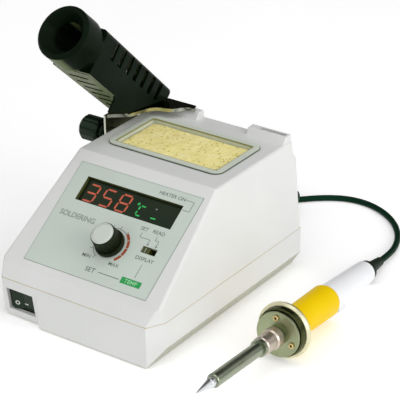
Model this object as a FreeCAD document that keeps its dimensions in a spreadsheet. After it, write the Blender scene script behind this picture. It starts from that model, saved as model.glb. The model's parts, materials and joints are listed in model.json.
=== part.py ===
"""Bench soldering station: a sloped two-shell case with a temperature control panel,
a sponge tray, a tilting iron holder, and the soldering iron lying beside it on its lead.

Frames, in millimetres.  Station frame: X to the right, Y to the back, Z up, with X = 0 on the
case centre line, Y = 0 at the front of the seam and Z = 0 at the underside of the lower shell.
Every sub-part is built in the station frame or in one of the frames placed in it, and then the
whole object is moved so that its origin is the bottom centre of its bounding box.
"""
import FreeCAD, Part
import math
import os
import re

import Sketcher

Vec = FreeCAD.Vector
Place = FreeCAD.Placement
Turn = FreeCAD.Rotation
X_AXIS, Y_AXIS, Z_AXIS = Vec(1, 0, 0), Vec(0, 1, 0), Vec(0, 0, 1)

SIZES = {
    # case
    "case_width": 120, "case_depth": 152, "seam_height": 26.4, "seam_gap": 0.4, "wall": 2.5,
    "corner_run": 11.6, "corner_inset": 6.1, "bevel_height": 9.8, "bevel_inset": 6.1,
    "side_lean": 8.5, "lip_inset": 1.2, "lip_rise": 1.9, "edge_round": 2.0,
    # sloped front
    "band_depth": 5.83, "band_top": 34.45, "panel_angle": 34.7, "panel_length": 84.5,
    # rear of the upper shell
    "roof_rear": 155.5, "rear_jog_top": 75, "rear_jog_low": 70, "rear_bulge": 157.7,
    "horn_top": 86.6, "horn_front": 147, "horn_left_out": -52, "horn_left_in": -15,
    "horn_right_in": 22, "horn_right_out": 50.5,
    "slit_length": 19, "slit_width": 2.4, "slit_depth": 9, "slit_back": 152.4, "slit_offset": 39,
    # switch recess and power switch
    "recess_side": -26.6, "recess_depth": 3.6, "switch_across": -41.3, "switch_up": 11.85,
    "switch_long": 20.2, "switch_tall": 15.2, "switch_sunk": 2.0, "rocker_long": 15.6,
    "rocker_tall": 13.2, "rocker_thick": 5.0, "rocker_pivot": 4.4, "rocker_rest": 8,
    # control panel, measured along the slope from its lower edge
    "overlay_left": -43.9, "overlay_right": 46.8, "overlay_low": 5.2, "overlay_high": 76.3,
    "overlay_thick": 0.5, "window_left": -34.1, "window_right": 37.0, "window_low": 51.3,
    "window_high": 68.1, "knob_across": 5.7, "knob_up": 31, "knob_base": 9.3, "knob_top": 7.7,
    "knob_height": 11.8, "knob_gap": 0.9, "cap_radius": 6.4, "shaft_radius": 3,
    "slot_left": 26.2, "slot_right": 36.9, "slot_low": 32.4, "slot_high": 36.8,
    "button_long": 5.2, "button_tall": 3.8, "board_drop": 13, "board_thick": 1.6,
    "board_half": 40, "board_low": 7, "board_high": 77.5,
    # sponge tray
    "tray_half": 42.2, "tray_front": 89.4, "tray_back": 137.3, "tray_rim": 2.5, "tray_wall": 1.5,
    "tray_depth": 14, "tray_lip": 1.0, "tray_fit": 0.5, "tray_corner": 5,
    # rear panel fittings
    "inlet_across": -31, "fuse_across": 1, "socket_across": 24, "fitting_up": 13.2,
    "inlet_long": 27, "inlet_tall": 19.6, "socket_hole": 7.8,
    # feet and screws
    "foot_radius": 6, "foot_drop": 1.0, "foot_sunk": 1.5, "foot_across": 32.4, "foot_front": 15,
    "foot_back": 138, "post_across": 49.5, "post_front": 34, "post_back": 143.5,
    "post_radius": 3.6, "screw_radius": 1.5, "screw_head": 2.8,
    # iron holder: pivot on the left of the case, body leaning forward
    "holder_rise": 43.4, "pivot_back": 115.8, "pivot_up": 74.1, "plate_top": 89.2,
    "plate_thick": 2.2, "tab_thick": 1.3, "body_base": 89.3, "mouth_back": 77.5, "mouth_up": 148.4,
    "body_long": 92.8, "body_half": 14.5, "body_left": -62.5, "body_right_front": -34.2,
    "body_right_back": -39.9, "body_wall": 1.6, "body_round": 3.5, "leg_thick": 2.2,
    "foot_right": -46.5,
    "vent_count": 7, "vent_first": 15.5, "vent_step": 10.6, "vent_wide": 4.4, "vent_low": 1.2,
    "vent_high": 12.8, "vent_slip": 5.3, "groove_count": 6, "groove_first": 13,
    "groove_step": 9.2, "funnel_radius": 17.4, "funnel_long": 22, "funnel_bore": 9.3,
    "flange_left": -59.4, "flange_thick": 1.4, "knob_end": -80,
    "spring_turns": 5, "spring_pitch": 8, "spring_radius": 9.0, "spring_wire": 0.6,
    "spring_corners": 8,
    # soldering iron, measured from its tip
    "iron_across": 116.2, "iron_front": -37.2, "iron_yaw": 3.5, "barrel_start": 17.1,
    "barrel_radius": 4.15, "disc_start": 87, "disc_radius": 13.93, "rim_start": 93.2,
    "rim_end": 95.8, "rim_radius": 17.2, "grip_end": 144.9, "grip_front": 9.5, "grip_back": 10.2,
    "handle_end": 195, "handle_front": 8.8, "handle_back": 7.4, "boot_end": 215,
    # lead
    "cord_radius": 2.0, "coil_across": -40, "coil_back": 214, "coil_mean": 23, "coil_pitch": 4.1,
    "tie_thick": 0.5,
}

doc = FreeCAD.newDocument("soldering_station")
sheet = doc.addObject("Spreadsheet::Sheet", "Sizes")
for row, (alias, amount) in enumerate(SIZES.items(), start=1):
    sheet.set("A%d" % row, alias)
    sheet.set("B%d" % row, str(amount))
    sheet.setAlias("B%d" % row, alias)
doc.recompute()


def size(alias):
    """A driving dimension read back from the sheet."""
    return float(getattr(sheet, alias))


def full(expression):
    """The same expression with each driving dimension named as a cell of the sheet."""
    return re.sub(r"[a-z_]+", lambda word: "Sizes." + word.group(0)
                  if word.group(0) in SIZES else word.group(0), str(expression))


def number(expression):
    """The value of an expression in driving dimensions."""
    return float(sheet.evalExpression(full(expression)))


def bind(item, **expressions):
    """Ties properties of an object to expressions; double underscores stand for dots."""
    for name, expression in expressions.items():
        item.setExpression(name.replace("__", "."), full(expression))


# ---------------------------------------------------------------- sketches and bodies

def sketch_on(body, role, offset="0"):
    """An empty sketch on one of the body's own origin planes, moved along its normal."""
    sketch = body.newObject("Sketcher::SketchObject", body.Label + "_sketch")
    plane = next(f for f in body.Origin.OriginFeatures if f.Role == role)
    sketch.AttachmentSupport = [(plane, "")]
    sketch.MapMode = "FlatFace"
    bind(sketch, AttachmentOffset__Base__z=offset)
    return sketch


def fix_point(sketch, geometry, point, across, up):
    """Dimensions a sketch point from the sketch origin with two bound constraints."""
    for kind, axis, value in (("DistanceX", -2, across), ("DistanceY", -1, up)):
        if str(value) == "0":
            sketch.addConstraint(Sketcher.Constraint("PointOnObject", geometry, point, axis))
        else:
            at = sketch.addConstraint(Sketcher.Constraint(kind, -1, 1, geometry, point,
                                                          number(value)))
            sketch.setExpression("Constraints[%d]" % at, full(value))


def draw_outline(sketch, corners):
    """A closed outline of straight lines through corners given as pairs of expressions."""
    spots = [Vec(number(x), number(y), 0) for x, y in corners]
    first = sketch.GeometryCount
    for start, end in zip(spots, spots[1:] + spots[:1]):
        sketch.addGeometry(Part.LineSegment(start, end), False)
    for step in range(len(spots)):
        after = first + (step + 1) % len(spots)
        sketch.addConstraint(Sketcher.Constraint("Coincident", first + step, 2, after, 1))
    for step, (x, y) in enumerate(corners):
        fix_point(sketch, first + step, 1, x, y)


def draw_box(sketch, left, right, low, high):
    """A rectangle between four bound edges."""
    draw_outline(sketch, [(left, low), (right, low), (right, high), (left, high)])


def draw_circle(sketch, across, up, radius):
    """A circle whose centre and radius are bound."""
    at = sketch.addGeometry(Part.Circle(Vec(number(across), number(up), 0), Z_AXIS,
                                        number(radius)), False)
    fix_point(sketch, at, 3, across, up)
    datum = sketch.addConstraint(Sketcher.Constraint("Radius", at, number(radius)))
    sketch.setExpression("Constraints[%d]" % datum, full(radius))


def new_body(label):
    """A PartDesign body named after its sub-part."""
    body = doc.addObject("PartDesign::Body", label)
    body.Label = label
    return body


def pad(body, sketch, length):
    """A pad along the sketch's normal."""
    step = body.newObject("PartDesign::Pad", body.Label + "_pad")
    step.Profile = sketch
    bind(step, Length=length)
    doc.recompute()
    return step


def pocket(body, sketch, depth, reverse=False):
    """A pocket; it has to take material away."""
    before = body.Shape.Volume
    step = body.newObject("PartDesign::Pocket", body.Label + "_pocket")
    step.Profile = sketch
    step.Reversed = reverse
    bind(step, Length=depth)
    doc.recompute()
    if body.Shape.Volume >= before:
        raise RuntimeError("pocket cuts nothing in " + body.Label)
    return step


def turned(label, profile, frame):
    """A body of revolution about the frame's Z from a profile of (radius, height) pairs."""
    body = new_body(label)
    sketch = sketch_on(body, "XZ_Plane")
    draw_outline(sketch, profile)
    step = body.newObject("PartDesign::Revolution", label + "_revolution")
    step.Profile = sketch
    step.ReferenceAxis = (sketch, ["V_Axis"])
    step.Angle = 360
    doc.recompute()
    return finish(body, label, frame)


def soften(body, kind, amount, keep):
    """Rounds or chamfers the body's edges that the test picks out."""
    tip = body.Tip
    names = ["Edge%d" % (at + 1) for at, edge in enumerate(tip.Shape.Edges) if keep(edge)]
    step = body.newObject("PartDesign::" + kind, body.Label + "_" + kind.lower())
    step.Base = (tip, names)
    bind(step, **{"Radius" if kind == "Fillet" else "Size": amount})
    doc.recompute()
    return step


# ---------------------------------------------------------------- primitives and booleans

def box(x0, x1, y0, y1, z0, z1):
    """A box between six bound faces."""
    solid = doc.addObject("Part::Box", "block")
    bind(solid, Length="(%s) - (%s)" % (x1, x0), Width="(%s) - (%s)" % (y1, y0),
         Height="(%s) - (%s)" % (z1, z0), Placement__Base__x=x0, Placement__Base__y=y0,
         Placement__Base__z=z0)
    return solid


def rod(radius, length, x="0", y="0", z="0", along="Z"):
    """A cylinder that starts at a bound point and runs along an axis."""
    solid = doc.addObject("Part::Cylinder", "rod")
    swing = {"Z": Turn(), "X": Turn(Y_AXIS, 90), "-X": Turn(Y_AXIS, -90),
             "Y": Turn(X_AXIS, -90), "-Y": Turn(X_AXIS, 90)}[along]
    solid.Placement = Place(Vec(), swing)
    bind(solid, Radius=radius, Height=length, Placement__Base__x=x, Placement__Base__y=y,
         Placement__Base__z=z)
    return solid


def joined(items):
    """The union of several Part objects."""
    if len(items) == 1:
        return items[0]
    union = doc.addObject("Part::MultiFuse", "union")
    union.Shapes = items
    return union


def cut_from(base, tools):
    """A Part object less the others."""
    result = doc.addObject("Part::Cut", "cut")
    result.Base = base
    result.Tool = joined(tools)
    return result


subparts = []
STATION = Place()


def finish(item, label, frame=STATION):
    """Names a sub-part, puts it in its frame and adds it to the object."""
    item.Label = label
    item.Placement = frame
    subparts.append(item)
    return item


def group(label, items, frame=STATION):
    """One sub-part of separate Part solids."""
    holder = doc.addObject("Part::Compound", label)
    holder.Links = items
    return finish(holder, label, frame)


def feature(label, shape, frame=STATION):
    """One sub-part from a shape made with Part's own functions."""
    item = doc.addObject("Part::Feature", label)
    item.Shape = shape
    return finish(item, label, frame.multiply(item.Placement))


# ---------------------------------------------------------------- routes

def rounded_path(points):
    """Straight runs joined by tangent arcs, and the arcs' radii."""
    edges, radii = [], []
    start = points[0]
    for before, corner, after in zip(points, points[1:], points[2:]):
        arrive, leave = corner - before, after - corner
        turn = arrive.getAngle(leave)
        cut = 0.45 * min(arrive.Length, leave.Length)
        radius = cut / math.tan(turn / 2)
        arrive.normalize()
        leave.normalize()
        first, last = corner - arrive * cut, corner + leave * cut
        inward = (leave - arrive).normalize()
        middle = corner + inward * (math.hypot(radius, cut) - radius)
        edges.append(Part.LineSegment(start, first).toShape())
        edges.append(Part.Arc(first, middle, last).toShape())
        radii.append(radius)
        start = last
    edges.append(Part.LineSegment(start, points[-1]).toShape())
    return Part.Wire(edges), radii


# ---------------------------------------------------------------- frames in the station frame

slope = math.radians(size("panel_angle"))
PANEL = Place(Vec(0, size("band_depth"), size("band_top")), Turn(X_AXIS, size("panel_angle")))
recess_tilt = math.degrees(math.atan2(size("recess_depth"), size("seam_height")))
SWITCH = Place(Vec(size("switch_across"), (size("seam_height") - size("switch_up"))
                   * size("recess_depth") / size("seam_height"), size("switch_up")),
               Turn(X_AXIS, 90 + recess_tilt))
HOLDER = Place(Vec(0, size("mouth_back"), size("mouth_up")),
               Turn(X_AXIS, 90 - size("holder_rise")))
KNOB = PANEL.multiply(Place(Vec(size("knob_across"), size("knob_up"), 0), Turn()))


def rear_frame(across):
    """Z out of the rear panel, X to the left, at the height of the rear fittings."""
    return Place(Vec(number(across), size("case_depth"), size("fitting_up")),
                 Turn(X_AXIS, -90).multiply(Turn(Z_AXIS, 180)))


reach = size("rim_end")
floor = -size("foot_drop")
iron_dip = math.asin((size("rim_radius") - size("handle_back")) / (size("handle_end") - reach))
iron_way = Vec(-math.sin(math.radians(size("iron_yaw"))) * math.cos(iron_dip),
               math.cos(math.radians(size("iron_yaw"))) * math.cos(iron_dip),
               -math.sin(iron_dip))
iron_height = floor + size("rim_radius") * math.cos(iron_dip) + reach * math.sin(iron_dip)
IRON = Place(Vec(size("iron_across"), size("iron_front"), iron_height),
             Turn(Z_AXIS, iron_way))


# ---------------------------------------------------------------- shells

def prism(points, start, length):
    """A flat outline pushed along a vector."""
    wire = Part.makePolygon([start + p for p in points] + [start + points[0]])
    return Part.Face(wire).extrude(length)


def shrunk(points, normal, inset):
    """The outline moved inwards by an inset, as a list of points in order."""
    if inset == 0:
        return points
    wire = Part.makePolygon(points + points[:1])
    return [v.Point for v in wire.makeOffset2D(-inset, 2, False, False).OrderedVertexes]


def plan_block(inset, low, high):
    """The case's plan with its cut front corners, between two heights."""
    half, back = size("case_width") / 2, size("rear_bulge") + 4
    run, step = size("corner_run"), size("corner_inset")
    plan = [Vec(step - half, 0, 0), Vec(half - step, 0, 0), Vec(half, run, 0),
            Vec(half, back, 0), Vec(-half, back, 0), Vec(-half, run, 0)]
    return prism(shrunk(plan, Z_AXIS, inset), Vec(0, 0, low), Vec(0, 0, high - low))


def side_block(side, inset):
    """An outline in the YZ plane through the whole width."""
    width = size("case_width") + 20
    return prism(shrunk(side, X_AXIS, inset), Vec(-width / 2, 0, 0), Vec(width, 0, 0))


def section_block(section, inset):
    """An outline in the XZ plane through the whole depth."""
    return prism(shrunk(section, Y_AXIS, inset), Vec(0, -10, 0), Vec(0, 200, 0))


def upper_block(inset, low):
    """The upper shell's outer form, moved inwards and carried down to a height."""
    lean = math.tan(math.radians(size("side_lean")))
    half, seam = size("case_width") / 2, size("seam_height")
    brow = Vec(0, size("band_depth") + size("panel_length") * math.cos(slope),
               size("band_top") + size("panel_length") * math.sin(slope))
    back_lean = (size("rear_bulge") - size("case_depth")) / (size("rear_jog_low") - seam)
    front_lean = size("band_depth") / (size("band_top") - seam)
    drop = seam - low
    side = [Vec(0, -drop * front_lean, low), Vec(0, size("band_depth"), size("band_top")), brow,
            Vec(0, size("roof_rear"), brow.z), Vec(0, size("roof_rear"), size("rear_jog_top")),
            Vec(0, size("rear_bulge"), size("rear_jog_low")),
            Vec(0, size("case_depth") - drop * back_lean, low)]
    top = brow.z + 10
    section = [Vec(half + drop * lean, 0, low), Vec(-half - drop * lean, 0, low),
               Vec(-half + (top - seam) * lean, 0, top), Vec(half - (top - seam) * lean, 0, top)]
    block = side_block(side, inset).common(section_block(section, inset))
    return block.common(plan_block(inset, low - 20, top + 20))


def lower_block(inset, top):
    """The lower shell's outer form with its bevelled lower sides."""
    half, cut = size("case_width") / 2, size("bevel_inset")
    section = [Vec(cut - half, 0, 0), Vec(half - cut, 0, 0), Vec(half, 0, size("bevel_height")),
               Vec(half, 0, top), Vec(-half, 0, top), Vec(-half, 0, size("bevel_height"))]
    depth = size("case_depth")
    side = [Vec(0, 0, 0), Vec(0, depth, 0), Vec(0, depth, top), Vec(0, 0, top)]
    block = section_block(section, inset).common(side_block(side, inset))
    return block.common(plan_block(inset, -20, top + 20))


def upright(radius, x, y, low, high):
    """A vertical cylinder between two heights."""
    return Part.makeCylinder(radius, high - low, Vec(x, y, low))


def post_spots():
    """Where the four case screws stand."""
    across = size("post_across")
    return [(side * across, y) for y in (size("post_front"), size("post_back"))
            for side in (-1, 1)]


def framed(frame, x0, x1, y0, y1, z0, z1):
    """A box given in one of the frames, as a shape in the station frame."""
    solid = Part.makeBox(x1 - x0, y1 - y0, z1 - z0, Vec(x0, y0, z0))
    solid.Placement = frame
    return solid


def slit_centres():
    """Centre X of the holder slit in each rear horn."""
    offset = size("slit_offset")
    return (-offset + 8, offset)


def make_upper_shell():
    """Thin shell with the sloped panel, roof opening, rear horns and screw posts."""
    seam = size("seam_height") + size("seam_gap") / 2
    wall, roof = size("wall"), size("band_top") + size("panel_length") * math.sin(slope)
    outer = upper_block(0, seam)
    rounded = [e for e in outer.Edges if e.CenterOfMass.z > seam + 1
               and not (e.Length > 90 and size("rear_jog_low") - 1 < e.CenterOfMass.z < roof - 5)]
    outer = outer.makeFillet(size("edge_round"), rounded)
    solid = outer.cut(upper_block(wall, seam - 12))

    horn_side = [Vec(0, size("horn_front"), roof - 1), Vec(0, size("horn_front"), roof),
                 Vec(0, size("horn_front") + 3, size("horn_top")),
                 Vec(0, size("roof_rear"), size("horn_top")), Vec(0, size("roof_rear"), roof - 1)]
    for inner, outer_end in ((size("horn_left_in"), size("horn_left_out")),
                             (size("horn_right_in"), size("horn_right_out"))):
        left, right = sorted((inner, outer_end))
        horn = prism(horn_side, Vec(left, 0, 0), Vec(right - left, 0, 0))
        rims = [e for e in horn.Edges if e.CenterOfMass.z > size("horn_top") - 3]
        solid = solid.fuse(horn.makeFillet(0.8, rims))
    for x in slit_centres():
        pocket_low = roof - wall - size("slit_depth") + 2
        solid = solid.fuse(Part.makeBox(size("slit_length") + 4, 6, roof - 1 - pocket_low,
                                        Vec(x - size("slit_length") / 2 - 2,
                                            size("slit_back") - 3, pocket_low)))
        solid = solid.cut(Part.makeBox(size("slit_length"), size("slit_width"), 30,
                                       Vec(x - size("slit_length") / 2,
                                           size("slit_back") - size("slit_width") / 2,
                                           size("horn_top") - size("slit_depth"))))

    for x, y in post_spots():
        post = upright(size("post_radius"), x, y, seam - 2, roof).common(upper_block(1, seam - 3))
        solid = solid.fuse(post.cut(upright(size("screw_radius"), x, y, 0, seam + 9)))
    rebate = plan_block(size("lip_inset") - 0.2, seam - 1, seam + size("lip_rise") + 0.2)
    keep_posts = Part.makeCompound([upright(size("post_radius"), x, y, seam - 3, seam + 3)
                                    for x, y in post_spots()])
    solid = solid.cut(rebate.common(upper_block(size("lip_inset") - 0.2, seam - 2))
                      .cut(keep_posts))

    thick = size("overlay_thick")
    low, high = size("overlay_low"), size("overlay_high")
    solid = solid.cut(framed(PANEL, size("overlay_left") - 0.2, size("overlay_right") + 0.2,
                             low - 0.2, high + 0.2, 0.1 - thick, 3))
    solid = solid.cut(framed(PANEL, size("window_left"), size("window_right"),
                             size("window_low"), size("window_high"), -6, 3))
    solid = solid.cut(framed(PANEL, size("slot_left"), size("slot_right"),
                             size("slot_low"), size("slot_high"), -6, 3))
    shaft_hole = Part.makeCylinder(5, 12, Vec(0, 0, -6))
    shaft_hole.Placement = KNOB
    solid = solid.cut(shaft_hole)

    half, fit = size("tray_half") - size("tray_rim") + size("tray_fit"), size("tray_fit")
    front = size("tray_front") + size("tray_rim") - fit
    back = size("tray_back") - size("tray_rim") + fit
    opening = Part.makeBox(2 * half, back - front, 30, Vec(-half, front, roof - 15))
    corners = [e for e in opening.Edges if abs(e.tangentAt(e.FirstParameter).z) > 0.9]
    solid = solid.cut(opening.makeFillet(size("tray_corner"), corners))

    for row in range(6):
        z = seam + 12 + 5 * row
        solid = solid.cut(Part.makeBox(44, 20, 2, Vec(-22, size("case_depth") - 8, z)))
    return feature("upper_shell", solid.removeSplitter())


def make_lower_shell():
    """Tray-shaped shell with the switch recess, bosses and rear panel cut-outs."""
    top = size("seam_height") - size("seam_gap") / 2
    wall = size("wall")
    deep = size("recess_depth")
    side = size("case_width") / 2 + 1

    def wedge(grow, right):
        foot = deep * (top + 1 + grow) / top
        outline = [Vec(0, -1, -1 - grow), Vec(0, foot + grow, -1 - grow), Vec(0, grow, top),
                   Vec(0, -1, top)]
        return prism(outline, Vec(-side, 0, 0), Vec(side + right, 0, 0))

    inner = lower_block(wall, top + 10).common(Part.makeBox(300, 300, 100, Vec(-150, -50, 0)))
    inner = inner.cut(wedge(wall, size("recess_side") + wall))
    solid = lower_block(0, top).cut(inner).cut(wedge(0, size("recess_side")))

    lip = plan_block(size("lip_inset"), top - 2, top + size("lip_rise"))
    lip = lip.cut(plan_block(wall, top - 3, top + 5))
    depth_limit = Part.makeBox(200, size("case_depth") - size("lip_inset"), 60, Vec(-100, 0, 0))
    rear_lip = Part.makeBox(size("case_width") - 2 * wall, wall - size("lip_inset"),
                            size("lip_rise") + 2,
                            Vec(wall - size("case_width") / 2, size("case_depth") - wall, top - 2))
    lean_keep = upper_block(size("lip_inset"), top - 3)
    solid = solid.fuse(lip.common(depth_limit).fuse(rear_lip).common(lean_keep))

    for x, y in post_spots():
        boss = upright(size("post_radius") + 1, x, y, 0, top - 2.2).common(lower_block(0, top))
        solid = solid.fuse(boss)
        solid = solid.cut(upright(size("screw_radius") + 0.2, x, y, -1, top + 1))
        solid = solid.cut(upright(size("screw_head") + 0.3, x, y, -1, 3))
    for x in (-size("foot_across"), size("foot_across")):
        for y in (size("foot_front"), size("foot_back")):
            solid = solid.cut(upright(size("foot_radius") + 0.1, x, y, -1, size("foot_sunk")))
    cutout = framed(SWITCH, -size("switch_long") / 2, size("switch_long") / 2,
                    -size("switch_tall") / 2, size("switch_tall") / 2, -19, 2)
    solid = solid.cut(cutout)
    rear = size("case_depth") - 10
    up = size("fitting_up")
    solid = solid.cut(Part.makeBox(size("inlet_long") + 0.4, 20, size("inlet_tall") + 0.4,
                                   Vec(size("inlet_across") - size("inlet_long") / 2 - 0.2, rear,
                                       up - size("inlet_tall") / 2 - 0.2)))
    for across, radius in ((size("fuse_across"), 6.7), (size("socket_across"),
                                                        size("socket_hole"))):
        solid = solid.cut(Part.makeCylinder(radius, 20, Vec(across, rear, up), Y_AXIS))
    return feature("lower_shell", solid.removeSplitter())


def make_feet_and_screws():
    """Four rubber feet and four case screws."""
    feet, screws = [], []
    for side in ("-1", "1"):
        for y in ("foot_front", "foot_back"):
            feet.append(rod("foot_radius", "foot_drop + foot_sunk",
                            side + " * foot_across", y, "-foot_drop"))
        for y in ("post_front", "post_back"):
            x = side + " * post_across"
            screws.append(joined([rod("screw_head", "1.8", x, y, "1.2"),
                                  rod("screw_radius", "seam_height + 5", x, y, "3")]))
    group("rubber_feet", feet)
    group("case_screws", screws)


# ---------------------------------------------------------------- control panel

def make_panel():
    """Overlay, display, board, temperature control and display switch."""
    body = new_body("panel_overlay")
    sketch = sketch_on(body, "XY_Plane", "0.1 - overlay_thick")
    draw_box(sketch, "overlay_left", "overlay_right", "overlay_low", "overlay_high")
    pad(body, sketch, "overlay_thick")
    soften(body, "Fillet", "1.2", lambda e: abs(e.Vertexes[0].Z - e.Vertexes[1].Z) > 0.1)
    holes = sketch_on(body, "XY_Plane", "2")
    draw_box(holes, "window_left", "window_right", "window_low", "window_high")
    draw_box(holes, "slot_left", "slot_right", "slot_low", "slot_high")
    draw_circle(holes, "knob_across", "knob_up", "5")
    pocket(body, holes, "6")
    finish(body, "panel_overlay", PANEL)

    body = new_body("display_window")
    sketch = sketch_on(body, "XY_Plane", "-wall - 1.5")
    draw_box(sketch, "window_left - 2", "window_right + 2", "window_low - 2", "window_high + 2")
    pad(body, sketch, "1.5")
    finish(body, "display_window", PANEL)

    digits = [box("window_left + 2.2 + 10.4 * %d" % k, "window_left + 12.2 + 10.4 * %d" % k,
                  "window_low + 0.5", "window_high - 0.5", "-board_drop", "-wall - 1.9")
              for k in range(5)]
    group("display_digits", digits, PANEL)

    body = new_body("main_board")
    sketch = sketch_on(body, "XY_Plane", "-board_drop - board_thick")
    draw_box(sketch, "-board_half", "board_half", "board_low", "board_high")
    pad(body, sketch, "board_thick")
    holes = sketch_on(body, "XY_Plane", "0")
    spots = [(x, y) for x in ("4 - board_half", "board_half - 4")
             for y in ("board_low + 4", "board_high - 3.5")]
    for x, y in spots:
        draw_circle(holes, x, y, "1.7")
    pocket(body, holes, "board_drop + board_thick + 1")
    finish(body, "main_board", PANEL)
    spacers = [rod("2.5", "board_drop - wall - 0.05", x, y, "-board_drop") for x, y in spots]
    group("board_spacers", spacers, PANEL)

    pot = joined([box("-8.2", "8.2", "-8.2", "8.2", "-board_drop", "-board_drop + 6"),
                  rod("4.4", "board_drop - 5", "0", "0", "-board_drop + 5")])
    group("potentiometer", [cut_from(pot, [rod("shaft_radius + 0.05", "board_drop", "0", "0",
                                               "-board_drop + 1.5")])], KNOB)
    turned("control_shaft", [("0", "-board_drop + 2"), ("shaft_radius", "-board_drop + 2"),
                             ("shaft_radius", "knob_gap + 8"), ("0", "knob_gap + 8")], KNOB)
    make_knob()

    turned("knob_cap", [("0", "knob_gap + knob_height - 1.2"),
                        ("cap_radius", "knob_gap + knob_height - 1.2"),
                        ("cap_radius", "knob_gap + knob_height"),
                        ("cap_radius - 0.8", "knob_gap + knob_height + 0.5"),
                        ("0", "knob_gap + knob_height + 0.5")], KNOB)

    middle = "(slot_left + slot_right) / 2"
    level = "(slot_low + slot_high) / 2"
    frame = box(middle + " - 8.2", middle + " + 8.2", level + " - 3.8", level + " + 3.8",
                "-board_drop", "-wall - 0.2")
    well = box("slot_left - 0.3", "slot_right + 0.3", "slot_low - 0.2", "slot_high + 0.2",
               "-7.5", "0")
    group("display_switch_body", [cut_from(frame, [well])], PANEL)
    body = new_body("display_switch_button")
    sketch = sketch_on(body, "XY_Plane", "-7")
    draw_box(sketch, "slot_left + 0.25", "slot_left + 0.25 + button_long",
             level + " - button_tall / 2", level + " + button_tall / 2")
    pad(body, sketch, "6.2")
    ridge = sketch_on(body, "XY_Plane", "-0.8")
    draw_box(ridge, "slot_left + 2.35", "slot_left + 3.35", level + " - button_tall / 2",
             level + " + button_tall / 2")
    pad(body, ridge, "0.5")
    finish(body, "display_switch_button", PANEL)


def make_knob():
    """Fluted control knob with a recess for its cap and a bore for the shaft."""
    body = new_body("temp_knob")
    sketch = sketch_on(body, "XZ_Plane")
    draw_outline(sketch, [("shaft_radius + 0.02", "knob_gap"), ("knob_base", "knob_gap"),
                          ("knob_base", "knob_gap + 1.6"), ("knob_base - 0.7", "knob_gap + 2.2"),
                          ("knob_top", "knob_gap + knob_height - 0.6"),
                          ("knob_top - 0.6", "knob_gap + knob_height"),
                          ("cap_radius + 0.02", "knob_gap + knob_height"),
                          ("cap_radius + 0.02", "knob_gap + knob_height - 1.2"),
                          ("0", "knob_gap + knob_height - 1.2"), ("0", "knob_gap + 8"),
                          ("shaft_radius + 0.02", "knob_gap + 8")])
    turn = body.newObject("PartDesign::Revolution", "temp_knob_revolution")
    turn.Profile = sketch
    turn.ReferenceAxis = (sketch, ["V_Axis"])
    turn.Angle = 360
    doc.recompute()
    flute = sketch_on(body, "XY_Plane", "knob_gap + knob_height + 1")
    draw_circle(flute, "knob_top + 0.65", "0", "0.8")
    groove = pocket(body, flute, "knob_height - 1.2")
    around = body.newObject("PartDesign::PolarPattern", "temp_knob_flutes")
    around.Originals = [groove]
    around.Axis = (flute, ["N_Axis"])
    around.Angle = 360
    around.Occurrences = 30
    body.Tip = around
    doc.recompute()
    finish(body, "temp_knob", KNOB)


def make_power_switch():
    """Rocker switch set in the slanted recess at the front left."""
    sunk = "switch_sunk"
    shell = box("-switch_long / 2 + 0.1", "switch_long / 2 - 0.1", "-switch_tall / 2 + 0.1",
                "switch_tall / 2 - 0.1", "-18", "-" + sunk + " - 0.3")
    well = box("-8.9", "8.9", "-6.9", "6.9", "-14", "2")
    pins = rod("1.26", "switch_tall", "0", "-switch_tall / 2", "-rocker_pivot - switch_sunk",
               along="Y")
    group("power_switch_housing", [cut_from(shell, [well, pins])], SWITCH)

    body = new_body("power_rocker")
    sketch = sketch_on(body, "XZ_Plane", "-rocker_tall / 2")
    half = "rocker_long / 2"
    face, dip = "-switch_sunk + 0.5", "-switch_sunk - 0.4"
    low = "-switch_sunk - rocker_thick"
    draw_outline(sketch, [("-" + half, low + " + 1.5"), ("-4", low), ("4", low),
                          (half, low + " + 1.5"), (half, face), ("0", dip), ("-" + half, face)])
    pad(body, sketch, "rocker_tall")
    pivot = sketch_on(body, "XZ_Plane", "-switch_tall / 2 + 0.4")
    draw_circle(pivot, "0", "-rocker_pivot - switch_sunk", "1.2")
    pad(body, pivot, "switch_tall - 0.8")
    spin = Place(Vec(), Turn(Y_AXIS, size("rocker_rest")),
                 Vec(0, 0, number("-rocker_pivot - switch_sunk")))
    finish(body, "power_rocker", SWITCH.multiply(spin))


# ---------------------------------------------------------------- inside the case

def make_power_supply():
    """Transformer with its winding, the power board and what stands on it."""
    core = box("-45", "12", "90", "112", "wall", "50.5")
    windows = [box("-35.5", "-26", "80", "125", "12", "41"),
               box("-7", "2.5", "80", "125", "12", "41")]
    group("transformer_core", [cut_from(core, windows)])
    bobbin = box("-35.3", "2.3", "83", "119", "12.2", "40.8")
    middle_leg = box("-26.2", "-6.8", "89.8", "112.2", "0", "60")
    group("transformer_winding", [cut_from(bobbin, [middle_leg])])
    body = new_body("power_board")
    sketch = sketch_on(body, "XY_Plane", "7")
    draw_box(sketch, "19", "52", "60", "124")
    pad(body, sketch, "board_thick")
    finish(body, "power_board")
    supports = [rod("2.5", "7 - wall", x, y, "wall") for x in ("23", "48") for y in ("64", "120")]
    group("power_board_standoffs", supports)
    cans = [rod("6.2", "22", "28", "74", "7 + board_thick"),
            rod("6.2", "22", "43", "74", "7 + board_thick")]
    group("filter_capacitors", cans)
    sink = box("26", "46", "104", "107", "7 + board_thick", "34")
    fins = [box("27 + 4 * %d" % k, "28.2 + 4 * %d" % k, "107", "114", "7 + board_thick", "34")
            for k in range(5)]
    group("heat_sink", [joined([sink] + fins)])


# ---------------------------------------------------------------- rear panel fittings

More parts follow.
